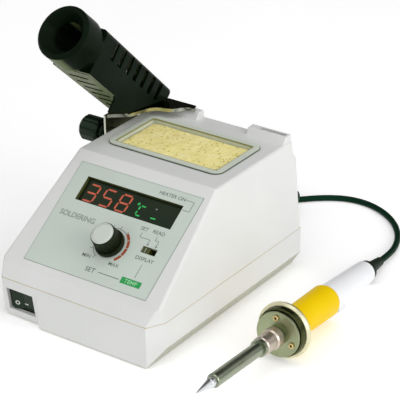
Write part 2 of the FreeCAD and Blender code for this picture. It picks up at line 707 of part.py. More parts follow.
def make_rear_fittings():
    """Mains inlet, fuse holder and the socket for the iron's plug."""
    inlet = rear_frame("inlet_across")
    shell = joined([box("-15.3", "15.3", "-11.6", "11.6", "0.05", "2"),
                    box("-inlet_long / 2", "inlet_long / 2", "-inlet_tall / 2", "inlet_tall / 2",
                        "-22", "0.5")])
    mouth = box("-12", "12", "-8.2", "8.2", "-15", "4")
    body = cut_from(shell, [mouth])
    corner_fill = [box(x0, x1, "5.2", "8.4", "-15", "1.9") for x0, x1 in (("-12.2", "-8.8"),
                                                                         ("8.8", "12.2"))]
    group("mains_inlet", [joined([body] + corner_fill)], inlet)
    blades = [box("%s - 1" % x, "%s + 1" % x, "%s - 2" % y, "%s + 2" % y, "-29", "-1.5")
              for x, y in (("-7", "-2.4"), ("7", "-2.4"), ("0", "3.4"))]
    blades = [cut_from(blade, [box("-20", "20", "-20", "20", "-22", "-15")]) for blade in blades]
    group("inlet_pins", blades, inlet)

    fuse = rear_frame("fuse_across")
    turned("fuse_holder", [("4.4", "1.8"), ("8", "1.8"), ("8", "0.05"), ("6.5", "0.05"),
                           ("6.5", "-30"), ("3", "-30"), ("3", "-26"), ("4.4", "-26")], fuse)
    turned("fuse_link", [("0", "-25.5"), ("2.6", "-25.5"), ("2.6", "-20.5"), ("2.4", "-20.5"),
                         ("2.4", "-10.5"), ("2.6", "-10.5"), ("2.6", "-5.5"), ("0", "-5.5")], fuse)
    turned("fuse_cap", [("0", "-5"), ("4", "-5"), ("4", "2.2"), ("6.2", "2.2"), ("6.2", "9"),
                        ("5.4", "9.8"), ("0", "9.8")], fuse)

    socket = rear_frame("socket_across")
    turned("iron_socket", [("6.9", "1.6"), ("9.4", "1.6"), ("9.4", "0.05"), ("7.7", "0.05"),
                           ("7.7", "-12"), ("0", "-12"), ("0", "-9"), ("6.9", "-9")], socket)
    turned("iron_plug", [("0", "-8"), ("6.6", "-8"), ("6.6", "2.4"), ("7.2", "2.4"),
                         ("7.2", "17"), ("6.2", "20"), ("0", "20")], socket)
    turned("plug_ring", [("7.3", "2.6"), ("8.6", "2.6"), ("8.8", "3.4"), ("8.8", "11.4"),
                         ("8.6", "12.2"), ("7.3", "12.2")], socket)
    turned("plug_boot", [("0", "20"), ("5.4", "20"), ("4.6", "24"), ("3.2", "37"), ("0", "37")],
           socket)


# ---------------------------------------------------------------- sponge tray

def make_tray():
    """Lift-out tray with a rim that rests on the roof, and its sponge."""
    roof = size("band_top") + size("panel_length") * math.sin(slope)
    lift = "band_top + panel_length * sin(panel_angle * 1 deg)"
    body = new_body("sponge_tray")
    rim = sketch_on(body, "XY_Plane", lift + " + 0.1")
    draw_box(rim, "-tray_half", "tray_half", "tray_front", "tray_back")
    pad(body, rim, "tray_lip")
    vertical = (lambda e: abs(e.Vertexes[0].Z - e.Vertexes[-1].Z) > 0.5)
    soften(body, "Fillet", "tray_corner + 1", vertical)
    tub = sketch_on(body, "XY_Plane", lift + " - tray_depth + tray_lip")
    draw_box(tub, "-tray_half + tray_rim", "tray_half - tray_rim", "tray_front + tray_rim",
             "tray_back - tray_rim")
    pad(body, tub, "tray_depth - tray_lip + 0.2")
    under = roof - 5
    soften(body, "Fillet", "tray_corner", lambda e: vertical(e) and e.CenterOfMass.z < under)
    inside = "tray_rim + tray_wall"
    hollow = sketch_on(body, "XY_Plane", lift + " + tray_lip + 1")
    draw_box(hollow, "-tray_half + " + inside, "tray_half - (%s)" % inside,
             "tray_front + " + inside, "tray_back - (%s)" % inside)
    pocket(body, hollow, "tray_depth - tray_wall + 1")
    finish(body, "sponge_tray")

    body = new_body("sponge")
    block = sketch_on(body, "XY_Plane", lift + " - tray_depth + tray_lip + tray_wall + 0.1")
    gap = "tray_rim + tray_wall + 0.3"
    draw_box(block, "-tray_half + " + gap, "tray_half - (%s)" % gap, "tray_front + " + gap,
             "tray_back - (%s)" % gap)
    pad(body, block, "tray_depth - tray_lip - tray_wall - 0.6")
    finish(body, "sponge")


# ---------------------------------------------------------------- iron holder

def right_side(z):
    """X of the body's right side at a distance z from its front end."""
    front, back = size("body_right_front"), size("body_right_back")
    return front - z / size("body_long") * (back - front)


def slant_block(left, right_inset, low, high, front, back):
    """A block in the holder's frame whose right side follows the body's taper."""
    ends = []
    for z in (front, back):
        right = right_side(z) - right_inset
        corners = [Vec(left, low, z), Vec(right, low, z), Vec(right, high, z),
                   Vec(left, high, z)]
        ends.append(Part.makePolygon(corners + corners[:1]))
    return Part.makeLoft(ends, True, True)


def above(height):
    """Everything above a height."""
    return Part.makeBox(200, 300, 300, Vec(-100, -50, height))


def side_slots(left, slip, first):
    """The row of slots of one side plate, all in its upper half, counted from the front."""
    low, high, wide = size("vent_low"), size("vent_high"), size("vent_wide") / 2
    slots = []
    for k in range(first, int(size("vent_count"))):
        z = slip - size("vent_first") - size("vent_step") * k
        slots.append(framed(HOLDER, left - 6, left + 6, low, high, z - wide, z + wide))
    return Part.makeCompound(slots).common(above(size("body_base") + 4))


def make_holder_body():
    """Channel with two slotted side plates; the left plate carries the leg, the right a cheek."""
    half, long, wall = size("body_half"), size("body_long"), size("body_wall")
    left, base = size("body_left"), size("body_base")
    block = slant_block(left, 0, -half, half, 0, -long)
    top_edges = [e for e in block.Edges if e.Length > 60 and e.CenterOfMass.y > 0]
    block = block.makeFillet(size("body_round"), top_edges)
    block.Placement = HOLDER
    hollow = slant_block(left + wall, wall, wall - half, half - wall, -wall, wall - long)
    hollow.Placement = HOLDER
    hollow = hollow.common(above(base + wall))
    reach = slant_block(left - 5, 0, -half - 40, half + 10, 5, -long - 5)
    inner_reach = slant_block(left - 6, wall, -half - 41, half + 11, 6, -long - 6)
    right_slab = reach.cut(inner_reach)
    right_slab.Placement = HOLDER
    left_slab = Part.makeBox(wall, 300, 300, Vec(left, -50, 0))

    pivot = Vec(0, size("pivot_back"), size("pivot_up"))
    leg = prism([Vec(0, 124.5, base + 16), Vec(0, 124.5, base + 5), Vec(0, 118.6, base - 2.8),
                 Vec(0, 110.2, pivot.z + 4.1), Vec(0, 121.6, pivot.z + 3),
                 Vec(0, 137, base + 8), Vec(0, 137, base + 16)], Vec(left, 0, 0),
                Vec(wall, 0, 0))
    leg = leg.fuse(Part.makeCylinder(6.9, size("leg_thick"), Vec(left, pivot.y, pivot.z),
                                     X_AXIS))
    hem = [Vec(0, 87, base + 15.7), Vec(0, 107, base + 7.6), Vec(0, 125, base + 5),
           Vec(0, 146, base + 1.5)]
    cheek = prism(hem + [Vec(0, 140, base + 12), Vec(0, 92.2, base + 28),
                         Vec(0, 93.4, base + 22.5)], Vec(left + 5, 0, 0), Vec(40, 0, 0))
    clearance = prism(hem + [Vec(0, 146, base - 5), Vec(0, 87, base - 5)],
                      Vec(size("foot_right"), 0, 0), Vec(30, 0, 0))

    solid = block.common(above(base)).cut(clearance)
    screw_way = Part.makeCylinder(2.55, 20, Vec(left - 5, pivot.y, pivot.z), X_AXIS)
    left_plate = solid.common(left_slab).fuse(leg).cut(screw_way)
    left_plate = left_plate.cut(side_slots(left, size("vent_slip"), 1))
    right_plate = solid.fuse(cheek).common(right_slab)

    mouth_x = (left + size("body_right_front")) / 2
    bore = Part.makeCylinder(12, 20, Vec(mouth_x, 0, -10))
    bore.Placement = HOLDER
    right_plate = right_plate.cut(side_slots(right_side(-long / 2), 0, 0)).cut(bore)
    channel = solid.cut(left_slab).cut(right_slab).cut(hollow).cut(bore)
    channel = channel.cut(framed(HOLDER, left, size("body_right_front"), -half - 1,
                                 -half + 0.8, -3.6, -2.4))
    for k in range(int(size("groove_count"))):
        z = -size("groove_first") - size("groove_step") * k
        channel = channel.cut(framed(HOLDER, left + 4.5, size("body_right_back") - 3.5,
                                     -half - 1, -half + 0.9, z - 1.3, z + 1.3))
    feature("holder_left_plate", left_plate.removeSplitter())
    feature("holder_right_plate", right_plate.removeSplitter())
    feature("holder_body", channel.removeSplitter())


def spring_tube():
    """Round wire wound as a helix, as short runs joined by tangent arcs."""
    turns, pitch, radius = size("spring_turns"), size("spring_pitch"), size("spring_radius")
    corners = size("spring_corners")
    points = []
    for k in range(int(turns * corners) + 1):
        angle = 2 * math.pi * k / corners
        climb = pitch * (k / corners - turns) - 3.2
        points.append(Vec(radius * math.cos(angle), radius * math.sin(angle), climb))
    path = rounded_path(points)[0]
    wire = Part.Wire(Part.Circle(points[0], points[1] - points[0], size("spring_wire")).toShape())
    return path.makePipeShell([wire], True, False)


def make_holder():
    """The holder's body, funnel and spring, the sheet bracket and its clamp."""
    make_holder_body()
    mouth_x = "(body_left + body_right_front) / 2"
    mouth = HOLDER.multiply(Place(Vec(number(mouth_x), 0, 0), Turn()))
    turned("holder_funnel", [("funnel_bore", "-2"), ("11.9", "-2"), ("11.9", "0"),
                             ("15.6", "0"), ("15.6", "3"), ("funnel_radius", "5.5"),
                             ("funnel_radius", "funnel_long - 1.2"),
                             ("funnel_radius - 1.2", "funnel_long"), ("14.2", "funnel_long"),
                             ("funnel_bore + 0.9", "funnel_long - 5.5"),
                             ("funnel_bore", "funnel_long - 7")], mouth)
    feature("holder_spring", spring_tube(), mouth)

    pivot = Vec(0, size("pivot_back"), size("pivot_up"))
    inner, thick = size("flange_left"), size("flange_thick")
    top, low = size("plate_top"), size("plate_top") - size("plate_thick")
    corners = [(inner, 109.3), (-53, 115.8), (-47.5, 120.5), (-43, 131.5), (-38, 137.5),
               (-29.5, 140.6), (-24.5, 146.5), (-17.5, 148.2), (-19.5, 153.2), (-41, 153.2),
               (inner, 146)]
    rim = Part.BSplineCurve()
    rim.interpolate([Vec(x, y, low) for x, y in corners[:8]])
    straight = [Part.LineSegment(Vec(*a, low), Vec(*b, low)).toShape()
                for a, b in zip(corners[7:], corners[8:] + corners[:1])]
    plate = Part.Face(Part.Wire([rim.toShape()] + straight)).extrude(Vec(0, 0, top - low))
    side = [Vec(0, 109.3, top), Vec(0, 109.3, pivot.z), Vec(0, 141, pivot.z), Vec(0, 146, top)]
    flange = prism(side, Vec(inner, 0, 0), Vec(thick, 0, 0))
    flange = flange.fuse(Part.makeCylinder(6.85, thick, Vec(inner, pivot.y + 0.35, pivot.z),
                                           X_AXIS))
    slit = slit_centres()[0]
    tab = Part.makeBox(size("slit_length") - 1, size("tab_thick"),
                       top - size("horn_top") + size("slit_depth") - 1.0,
                       Vec(slit - size("slit_length") / 2 + 0.5,
                           size("slit_back") - size("tab_thick") / 2,
                           size("horn_top") - size("slit_depth") + 1.0))
    bracket = plate.fuse(flange).fuse(tab)
    bracket = bracket.cut(Part.makeCylinder(2.55, 10, Vec(inner - 5, pivot.y, pivot.z), X_AXIS))
    feature("holder_bracket", bracket)

    nut_left = size("flange_left") + size("flange_thick") + 0.05
    nut = Part.makeCylinder(4.6, 2.4, Vec(nut_left, pivot.y, pivot.z), X_AXIS)
    nut = nut.cut(Part.makeCylinder(2.55, 9, Vec(nut_left - 3, pivot.y, pivot.z), X_AXIS))
    feature("clamp_nut", nut)
    clamp = Place(Vec(size("knob_end"), pivot.y, pivot.z), Turn(Z_AXIS, X_AXIS))
    turned("clamp_screw", [("0", "3"), ("2.5", "3"), ("2.5", "26"), ("0", "26")], clamp)
    body = new_body("clamp_knob")
    sketch = sketch_on(body, "XZ_Plane")
    draw_outline(sketch, [("0", "0"), ("6.8", "0"), ("8.4", "1.8"), ("8.4", "12.5"), ("6.9", "14"),
                          ("5", "14"), ("5", "17.1"), ("2.52", "17.1"), ("2.52", "3"),
                          ("0", "3")])
    turn = body.newObject("PartDesign::Revolution", "clamp_knob_revolution")
    turn.Profile = sketch
    turn.ReferenceAxis = (sketch, ["V_Axis"])
    turn.Angle = 360
    doc.recompute()
    flute = sketch_on(body, "XY_Plane", "15")
    draw_circle(flute, "9.3", "0", "1.6")
    groove = pocket(body, flute, "20")
    around = body.newObject("PartDesign::PolarPattern", "clamp_knob_flutes")
    around.Originals = [groove]
    around.Axis = (flute, ["N_Axis"])
    around.Angle = 360
    around.Occurrences = 12
    body.Tip = around
    doc.recompute()
    finish(body, "clamp_knob", clamp)


# ---------------------------------------------------------------- soldering iron

def make_iron():
    """The iron's pieces, all turned about its axis except the rivets and the lug."""
    turned("iron_tip", [("0", "0"), ("0.35", "0.5"), ("2.6", "13"), ("2.9", "14"), ("2.9", "42"),
                        ("0", "42")], IRON)
    turned("iron_barrel", [("3.0", "barrel_start"), ("barrel_radius - 0.4", "barrel_start"),
                           ("barrel_radius", "barrel_start + 0.6"), ("barrel_radius", "65.4"),
                           ("5.3", "65.4"), ("5.3", "67.6"), ("3.0", "67.6")], IRON)
    turned("barrel_nut", [("3.4", "68"), ("5.2", "68"), ("5.7", "68.8"), ("5.7", "78"),
                          ("6.4", "79"), ("6.4", "84"), ("5.6", "84.8"), ("3.4", "84.8")], IRON)
    turned("heater_element", [("0", "43"), ("2.2", "43"), ("2.2", "86"), ("3.2", "86"),
                              ("3.2", "98"), ("0", "98")], IRON)
    turned("guard_disc", [("3.6", "disc_start - 1.6"), ("6", "disc_start - 1.6"),
                          ("6", "disc_start"), ("disc_radius - 0.3", "disc_start"),
                          ("disc_radius", "disc_start + 0.3"),
                          ("disc_radius", "disc_start + 1.5"), ("3.6", "disc_start + 1.5")],
           IRON)
    rivets = []
    for k in range(3):
        angle = "(26 + 120 * %d) * 1 deg" % k
        rivets.append(rod("1.5", "0.95", "10.4 * cos(%s)" % angle, "10.4 * sin(%s)" % angle,
                          "disc_start - 0.95"))
    group("guard_rivets", rivets, IRON)
    turned("guard_gasket", [("4", "disc_start + 1.55"), ("13.1", "disc_start + 1.55"),
                            ("13.1", "disc_start + 2.6"), ("4", "disc_start + 2.6")], IRON)
    turned("guard_cup", [("4", "disc_start + 2.65"), ("14.2", "disc_start + 2.65"),
                         ("15", "disc_start + 3.4"), ("15.5", "rim_start - 0.05"),
                         ("4", "rim_start - 0.05")], IRON)
    turned("guard_rim", [("4", "rim_start"), ("rim_radius - 1.3", "rim_start"),
                         ("rim_radius", "rim_start + 1.5"), ("rim_radius", "rim_end"),
                         ("rim_radius - 0.8", "rim_end + 0.5"), ("4", "rim_end + 0.5")], IRON)
    turned("iron_grip", [("6.4", "rim_end + 0.55"), ("grip_front + 1.6", "rim_end + 0.55"),
                         ("grip_front", "rim_end + 3.5"), ("grip_back", "grip_end - 2"),
                         ("grip_back - 0.9", "grip_end"), ("6.4", "grip_end")], IRON)
    turned("iron_handle", [("0", "100"), ("6.3", "100"), ("6.3", "grip_end + 0.1"),
                           ("handle_front", "grip_end + 0.1"),
                           ("handle_front", "grip_end + 1"), ("handle_back", "handle_end - 0.8"),
                           ("handle_back - 0.8", "handle_end"), ("0", "handle_end")], IRON)
    lug = box("8.4", "10.4", "-1.3", "1.3", "149", "157")
    group("handle_lug", [lug], IRON.multiply(Place(Vec(), Turn(Z_AXIS, 52))))
    turned("iron_boot", [("0", "handle_end + 0.05"), ("6.4", "handle_end + 0.05"),
                         ("6.4", "handle_end + 3.4"), ("4.1", "handle_end + 5.6"),
                         ("2.9", "boot_end"), ("0", "boot_end")], IRON)


# ---------------------------------------------------------------- lead

def cord_tube(label, points):
    """A round lead along its route; its volume has to be its section times its length."""
    path, radii = rounded_path(points)
    section = Part.Wire(Part.Circle(points[0], points[1] - points[0],
                                    size("cord_radius")).toShape())
    tube = path.makePipeShell([section], True, False)
    expected = math.pi * size("cord_radius") ** 2 * path.Length
    print(label, "length", round(path.Length, 1), "radii", [round(r, 1) for r in radii],
          "volume share", round(tube.Volume / expected, 4))
    if abs(tube.Volume / expected - 1) > 0.01:
        raise RuntimeError("bad sweep for " + label)
    feature(label, tube)


def make_lead():
    """The lead from the plug to a tied coil behind the case and on to the iron."""
    plug_end = rear_frame("socket_across").multVec(Vec(0, 0, 37))
    rest = floor + size("cord_radius")
    centre = Vec(size("coil_across"), size("coil_back"), 0)
    bottom = rest + size("tie_thick") + 0.1
    outer = size("coil_mean") + size("coil_pitch")
    upper = bottom + size("coil_pitch")
    to_coil = [plug_end, Vec(23.6, 203, 13.2), Vec(17.5, 214, 12.2), Vec(5.5, 221.5, 9.6),
               Vec(-9, 228.5, 7.6), Vec(-23, 237.5, 6.2), Vec(centre.x, centre.y + outer, upper)]
    cord_tube("plug_lead", to_coil)

    leave = math.radians(-45)
    exit_point = centre + Vec(outer * math.cos(leave), outer * math.sin(leave), bottom)
    boot_point = IRON.multVec(Vec(0, 0, size("boot_end")))
    from_coil = [exit_point, Vec(-10.5, 204.6, rest + 0.2), Vec(1.5, 215.5, rest),
                 Vec(12.6, 227, rest), Vec(24, 237.5, rest), Vec(37.5, 244.8, rest),
                 Vec(52.5, 246, rest), Vec(67.5, 241.2, rest), Vec(81, 232, rest),
                 Vec(91.5, 219.5, rest), Vec(98.3, 205.5, rest + 0.5),
                 boot_point + iron_way * 14, boot_point]
    cord_tube("iron_lead", from_coil)

    radius = size("cord_radius")
    inside = size("coil_mean") - size("coil_pitch") - radius
    low, high = bottom - radius, bottom + size("coil_pitch") + radius
    far = outer + radius
    corners = [Vec(inside, 0, low), Vec(far, 0, low), Vec(far, 0, high), Vec(inside, 0, high)]
    ring = Part.Face(Part.makePolygon(corners + corners[:1])).revolve(Vec(), Z_AXIS, 360)
    ring = ring.makeFillet(1.2, ring.Edges)
    ring.translate(Vec(centre.x, centre.y, 0))
    feature("cord_coil", ring)
    thick = size("tie_thick")
    wrap = Part.makeBox(far - inside + 2 * thick, 4, high - low + 2 * thick,
                        Vec(inside - thick, -2, low - thick))
    wrap = wrap.cut(Part.makeBox(far - inside, 6, high - low, Vec(inside, -3, low)))
    wrap.rotate(Vec(), Z_AXIS, 200)
    wrap.translate(Vec(centre.x, centre.y, 0))
    feature("cord_tie", wrap)


# ---------------------------------------------------------------- the whole object

make_upper_shell()
make_lower_shell()
make_feet_and_screws()
make_panel()
make_power_switch()
make_power_supply()
make_rear_fittings()
make_tray()
make_holder()
make_iron()
make_lead()
doc.recompute()

ON_THE_LEAD = {"plug_lead", "iron_lead", "cord_coil", "cord_tie", "iron_plug", "plug_ring",
               "plug_boot"}
extent = FreeCAD.BoundBox()
for item in subparts:
    if item.Label not in ON_THE_LEAD:
        extent.add(item.Shape.optimalBoundingBox(False))
shift = Vec(-extent.Center.x, -extent.Center.y, -extent.ZMin)
for item in subparts:
    item.Placement = Place(shift, Turn()).multiply(item.Placement)
doc.recompute()

for item in doc.Objects:
    if "Invalid" in item.State or "Error" in item.State:
        raise RuntimeError("failed to build: " + item.Label)
os.makedirs("parts", exist_ok=True)
for item in subparts:
    shape = item.Shape
    if shape.isNull() or not shape.isValid() or shape.Volume <= 0:
        raise RuntimeError("bad shape: " + item.Label)
    shape.exportStep("parts/%s.step" % item.Label)
print("sub-parts", len(subparts), "shift", shift, "extent", extent)
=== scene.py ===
import json
import math

import bmesh
import bpy
from mathutils import Matrix, Vector, noise


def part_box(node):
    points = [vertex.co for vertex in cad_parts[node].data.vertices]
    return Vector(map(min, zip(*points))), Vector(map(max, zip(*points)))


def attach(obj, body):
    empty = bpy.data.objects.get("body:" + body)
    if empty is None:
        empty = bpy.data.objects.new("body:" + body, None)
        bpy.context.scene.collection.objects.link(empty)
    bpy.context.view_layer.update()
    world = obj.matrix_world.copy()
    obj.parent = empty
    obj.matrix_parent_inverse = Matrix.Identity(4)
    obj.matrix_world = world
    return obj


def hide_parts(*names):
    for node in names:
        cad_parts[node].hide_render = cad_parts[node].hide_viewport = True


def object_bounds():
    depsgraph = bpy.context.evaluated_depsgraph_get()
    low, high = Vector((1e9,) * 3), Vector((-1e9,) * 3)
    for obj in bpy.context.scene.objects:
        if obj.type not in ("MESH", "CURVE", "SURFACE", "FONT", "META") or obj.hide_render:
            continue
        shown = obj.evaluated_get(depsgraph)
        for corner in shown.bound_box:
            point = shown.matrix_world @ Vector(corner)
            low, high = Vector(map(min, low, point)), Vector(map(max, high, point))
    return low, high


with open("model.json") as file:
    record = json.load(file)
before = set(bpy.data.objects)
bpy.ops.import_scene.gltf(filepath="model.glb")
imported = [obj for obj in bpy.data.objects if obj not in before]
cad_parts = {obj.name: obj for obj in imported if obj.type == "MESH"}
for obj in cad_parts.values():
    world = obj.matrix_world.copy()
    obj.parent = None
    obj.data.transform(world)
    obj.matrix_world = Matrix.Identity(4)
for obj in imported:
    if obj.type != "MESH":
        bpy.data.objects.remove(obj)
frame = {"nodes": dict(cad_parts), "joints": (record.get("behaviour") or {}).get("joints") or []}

MM = 0.001
cad_low, cad_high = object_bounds()
nodes = frame["nodes"]
joints = {joint["name"]: joint for joint in frame["joints"]}

# ---------------------------------------------------------------- frames, sizes in millimetres

case_low, case_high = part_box("lower_shell")
STATION = Matrix.Translation(((case_low.x + case_high.x) / 2, case_low.y, case_low.z))
FLOOR = cad_low.z

PANEL_ANGLE = math.radians(34.7)
BAND_DEPTH, BAND_TOP = 5.83, 34.45
HOLDER_RISE = math.radians(43.4)
OVERLAY_TOP = 0.1
PRINT_LIFT, PRINT_THICK = 0.02, 0.03
OVERLAY_LEFT, OVERLAY_RIGHT, OVERLAY_LOW, OVERLAY_HIGH = -43.9, 46.8, 5.2, 76.3
WINDOW_TOP = -2.5
WINDOW_LEFT, WINDOW_RIGHT, WINDOW_LOW, WINDOW_HIGH = -34.1, 37.0, 51.3, 68.1
KNOB_CENTRE = (5.7, 31)


def spot(x, y, z):
    """A point given in the station's millimetres, in metres in the frame."""
    return STATION @ Vector((x * MM, y * MM, z * MM))


def placed(base, x, y, z, turn=None):
    """A frame inside another one, its origin in millimetres."""
    moved = base @ Matrix.Translation((x * MM, y * MM, z * MM))
    return moved @ turn if turn else moved


PANEL = placed(STATION, 0, BAND_DEPTH, BAND_TOP, Matrix.Rotation(PANEL_ANGLE, 4, "X"))


def joint_frame(name):
    """A frame at a joint whose Z is the joint's axis."""
    joint = joints[name]
    axis = Vector(joint["axis"]).normalized()
    turn = Vector((0, 0, 1)).rotation_difference(axis).to_matrix().to_4x4()
    return Matrix.Translation(joint["pos_m"]) @ turn


IRON = joint_frame("tip_nut_turn")
NUT_PLACE, BOOT_END = 76, 215
GUARD_FACE = 87 - 0.95
RIVETS, RIVET_FIRST, RIVET_RADIUS = 3, 26, 10.4

RECESS_DEPTH, RECESS_TALL = 3.6, 26.4
SWITCH_TILT = math.atan2(RECESS_DEPTH, RECESS_TALL)
ROCKER_PIVOT, ROCKER_REST, ROCKER_DIP = -6.4, math.radians(8), -2.4
SWITCH = placed(STATION, -41.3, 1.984, 11.85, Matrix.Rotation(math.pi / 2 + SWITCH_TILT, 4, "X"))
ROCKER = placed(SWITCH, 0, 0, ROCKER_PIVOT, Matrix.Rotation(ROCKER_REST, 4, "Y"))
ROCKER = placed(ROCKER, 0, 0, ROCKER_DIP - ROCKER_PIVOT)


# ---------------------------------------------------------------- camera

LENS, SENSOR = 167.55, 36
CAMERA_PLACE = (615.84, -711.67, 568.03)
CAMERA_RIGHT = Vector((0.81166, 0.58387, -0.01767))
CAMERA_DOWN = Vector((0.25187, -0.37710, -0.89127))
CAMERA_FORWARD = Vector((-0.52704, 0.71895, -0.45314))


def add_camera():
    """The camera at the photograph's angle."""
    data = bpy.data.cameras.new("camera")
    data.lens, data.sensor_width = LENS, SENSOR
    data.clip_start, data.clip_end = 0.05, 20
    camera = bpy.data.objects.new("camera", data)
    bpy.context.scene.collection.objects.link(camera)
    axes = Matrix((CAMERA_RIGHT, -CAMERA_DOWN, -CAMERA_FORWARD)).transposed()
    camera.matrix_world = Matrix.Translation(spot(*CAMERA_PLACE)) @ axes.to_4x4()
    bpy.context.scene.camera = camera


add_camera()


# ---------------------------------------------------------------- mesh helpers

def add_object(name, data, place=None):
    """A new object with its data put in place, its own origin left at the frame's origin."""
    thing = bpy.data.objects.new(name, data)
    bpy.context.scene.collection.objects.link(thing)
    if place is not None and hasattr(data, "vertices"):
        data.transform(place)
    return thing


def finish_piece(thing, body, material):
    """Gives a piece its body and its material."""
    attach(thing, body)
    thing.data.materials.clear()
    thing.data.materials.append(material)
    return thing


def mesh_from(name, vertices, faces, place=None):
    """A mesh object from millimetre vertices."""
    mesh = bpy.data.meshes.new(name)
    mesh.from_pydata([Vector(v) * MM for v in vertices], [], faces)
    mesh.update()
    return add_object(name, mesh, place)


def slab(outline, low, high):
    """Vertices and faces of a flat plate with a convex or simple outline."""
    count = len(outline)
    vertices = [(x, y, low) for x, y in outline] + [(x, y, high) for x, y in outline]
    faces = [tuple(reversed(range(count))), tuple(range(count, 2 * count))]
    for at in range(count):
        after = (at + 1) % count
        faces.append((at, after, after + count, at + count))
    return vertices, faces


def join_parts(parts):
    """Several (vertices, faces) pairs as one."""
    vertices, faces = [], []
    for more_vertices, more_faces in parts:
        start = len(vertices)
        vertices += more_vertices
        faces += [tuple(at + start for at in face) for face in more_faces]
    return vertices, faces


def bar(start, end, width, low, high):
    """A straight printed line between two points."""
    (x0, y0), (x1, y1) = start, end
    reach = math.hypot(x1 - x0, y1 - y0)
    nx, ny = -(y1 - y0) / reach * width / 2, (x1 - x0) / reach * width / 2
    outline = [(x0 - nx, y0 - ny), (x1 - nx, y1 - ny), (x1 + nx, y1 + ny), (x0 + nx, y0 + ny)]
    return slab(outline, low, high)


def arc_band(centre, inner, outer, first, last, low, high):
    """A flat arc; angles in degrees clockwise from straight up."""
    steps = max(2, int(abs(last - first) / 5))
    turns = [math.radians(first + (last - first) * k / steps) for k in range(steps + 1)]
    rim = [(centre[0] + outer * math.sin(t), centre[1] + outer * math.cos(t)) for t in turns]
    core = [(centre[0] + inner * math.sin(t), centre[1] + inner * math.cos(t)) for t in turns]
    return slab((rim + core[::-1])[::-1], low, high)


CAPITAL_SHARE = 0.69


def lettering(name, words, x, y, height, base, lift, bold, squeeze=1.0):
    """Printed letters as a flat mesh on a plane of the base frame, in millimetres."""
    curve = bpy.data.curves.new(name, "FONT")
    curve.body = words
    curve.size = 1.0
    curve.align_x = "CENTER"
    curve.offset = bold
    curve.resolution_u = 4
    maker = bpy.data.objects.new(name + "_maker", curve)
    bpy.context.scene.collection.objects.link(maker)
    bpy.context.view_layer.update()
    mesh = bpy.data.meshes.new_from_object(maker)
    bpy.data.objects.remove(maker)
    scale = height / CAPITAL_SHARE * MM
    mesh.transform(Matrix.Diagonal((scale * squeeze, scale, scale, 1)))
    shape = bmesh.new()
    shape.from_mesh(mesh)
    bmesh.ops.remove_doubles(shape, verts=shape.verts, dist=1e-7)
    shape.to_mesh(mesh)
    shape.free()
    mesh.transform(placed(base, x, y, lift))
    return add_object(name, mesh)


# ---------------------------------------------------------------- material helpers

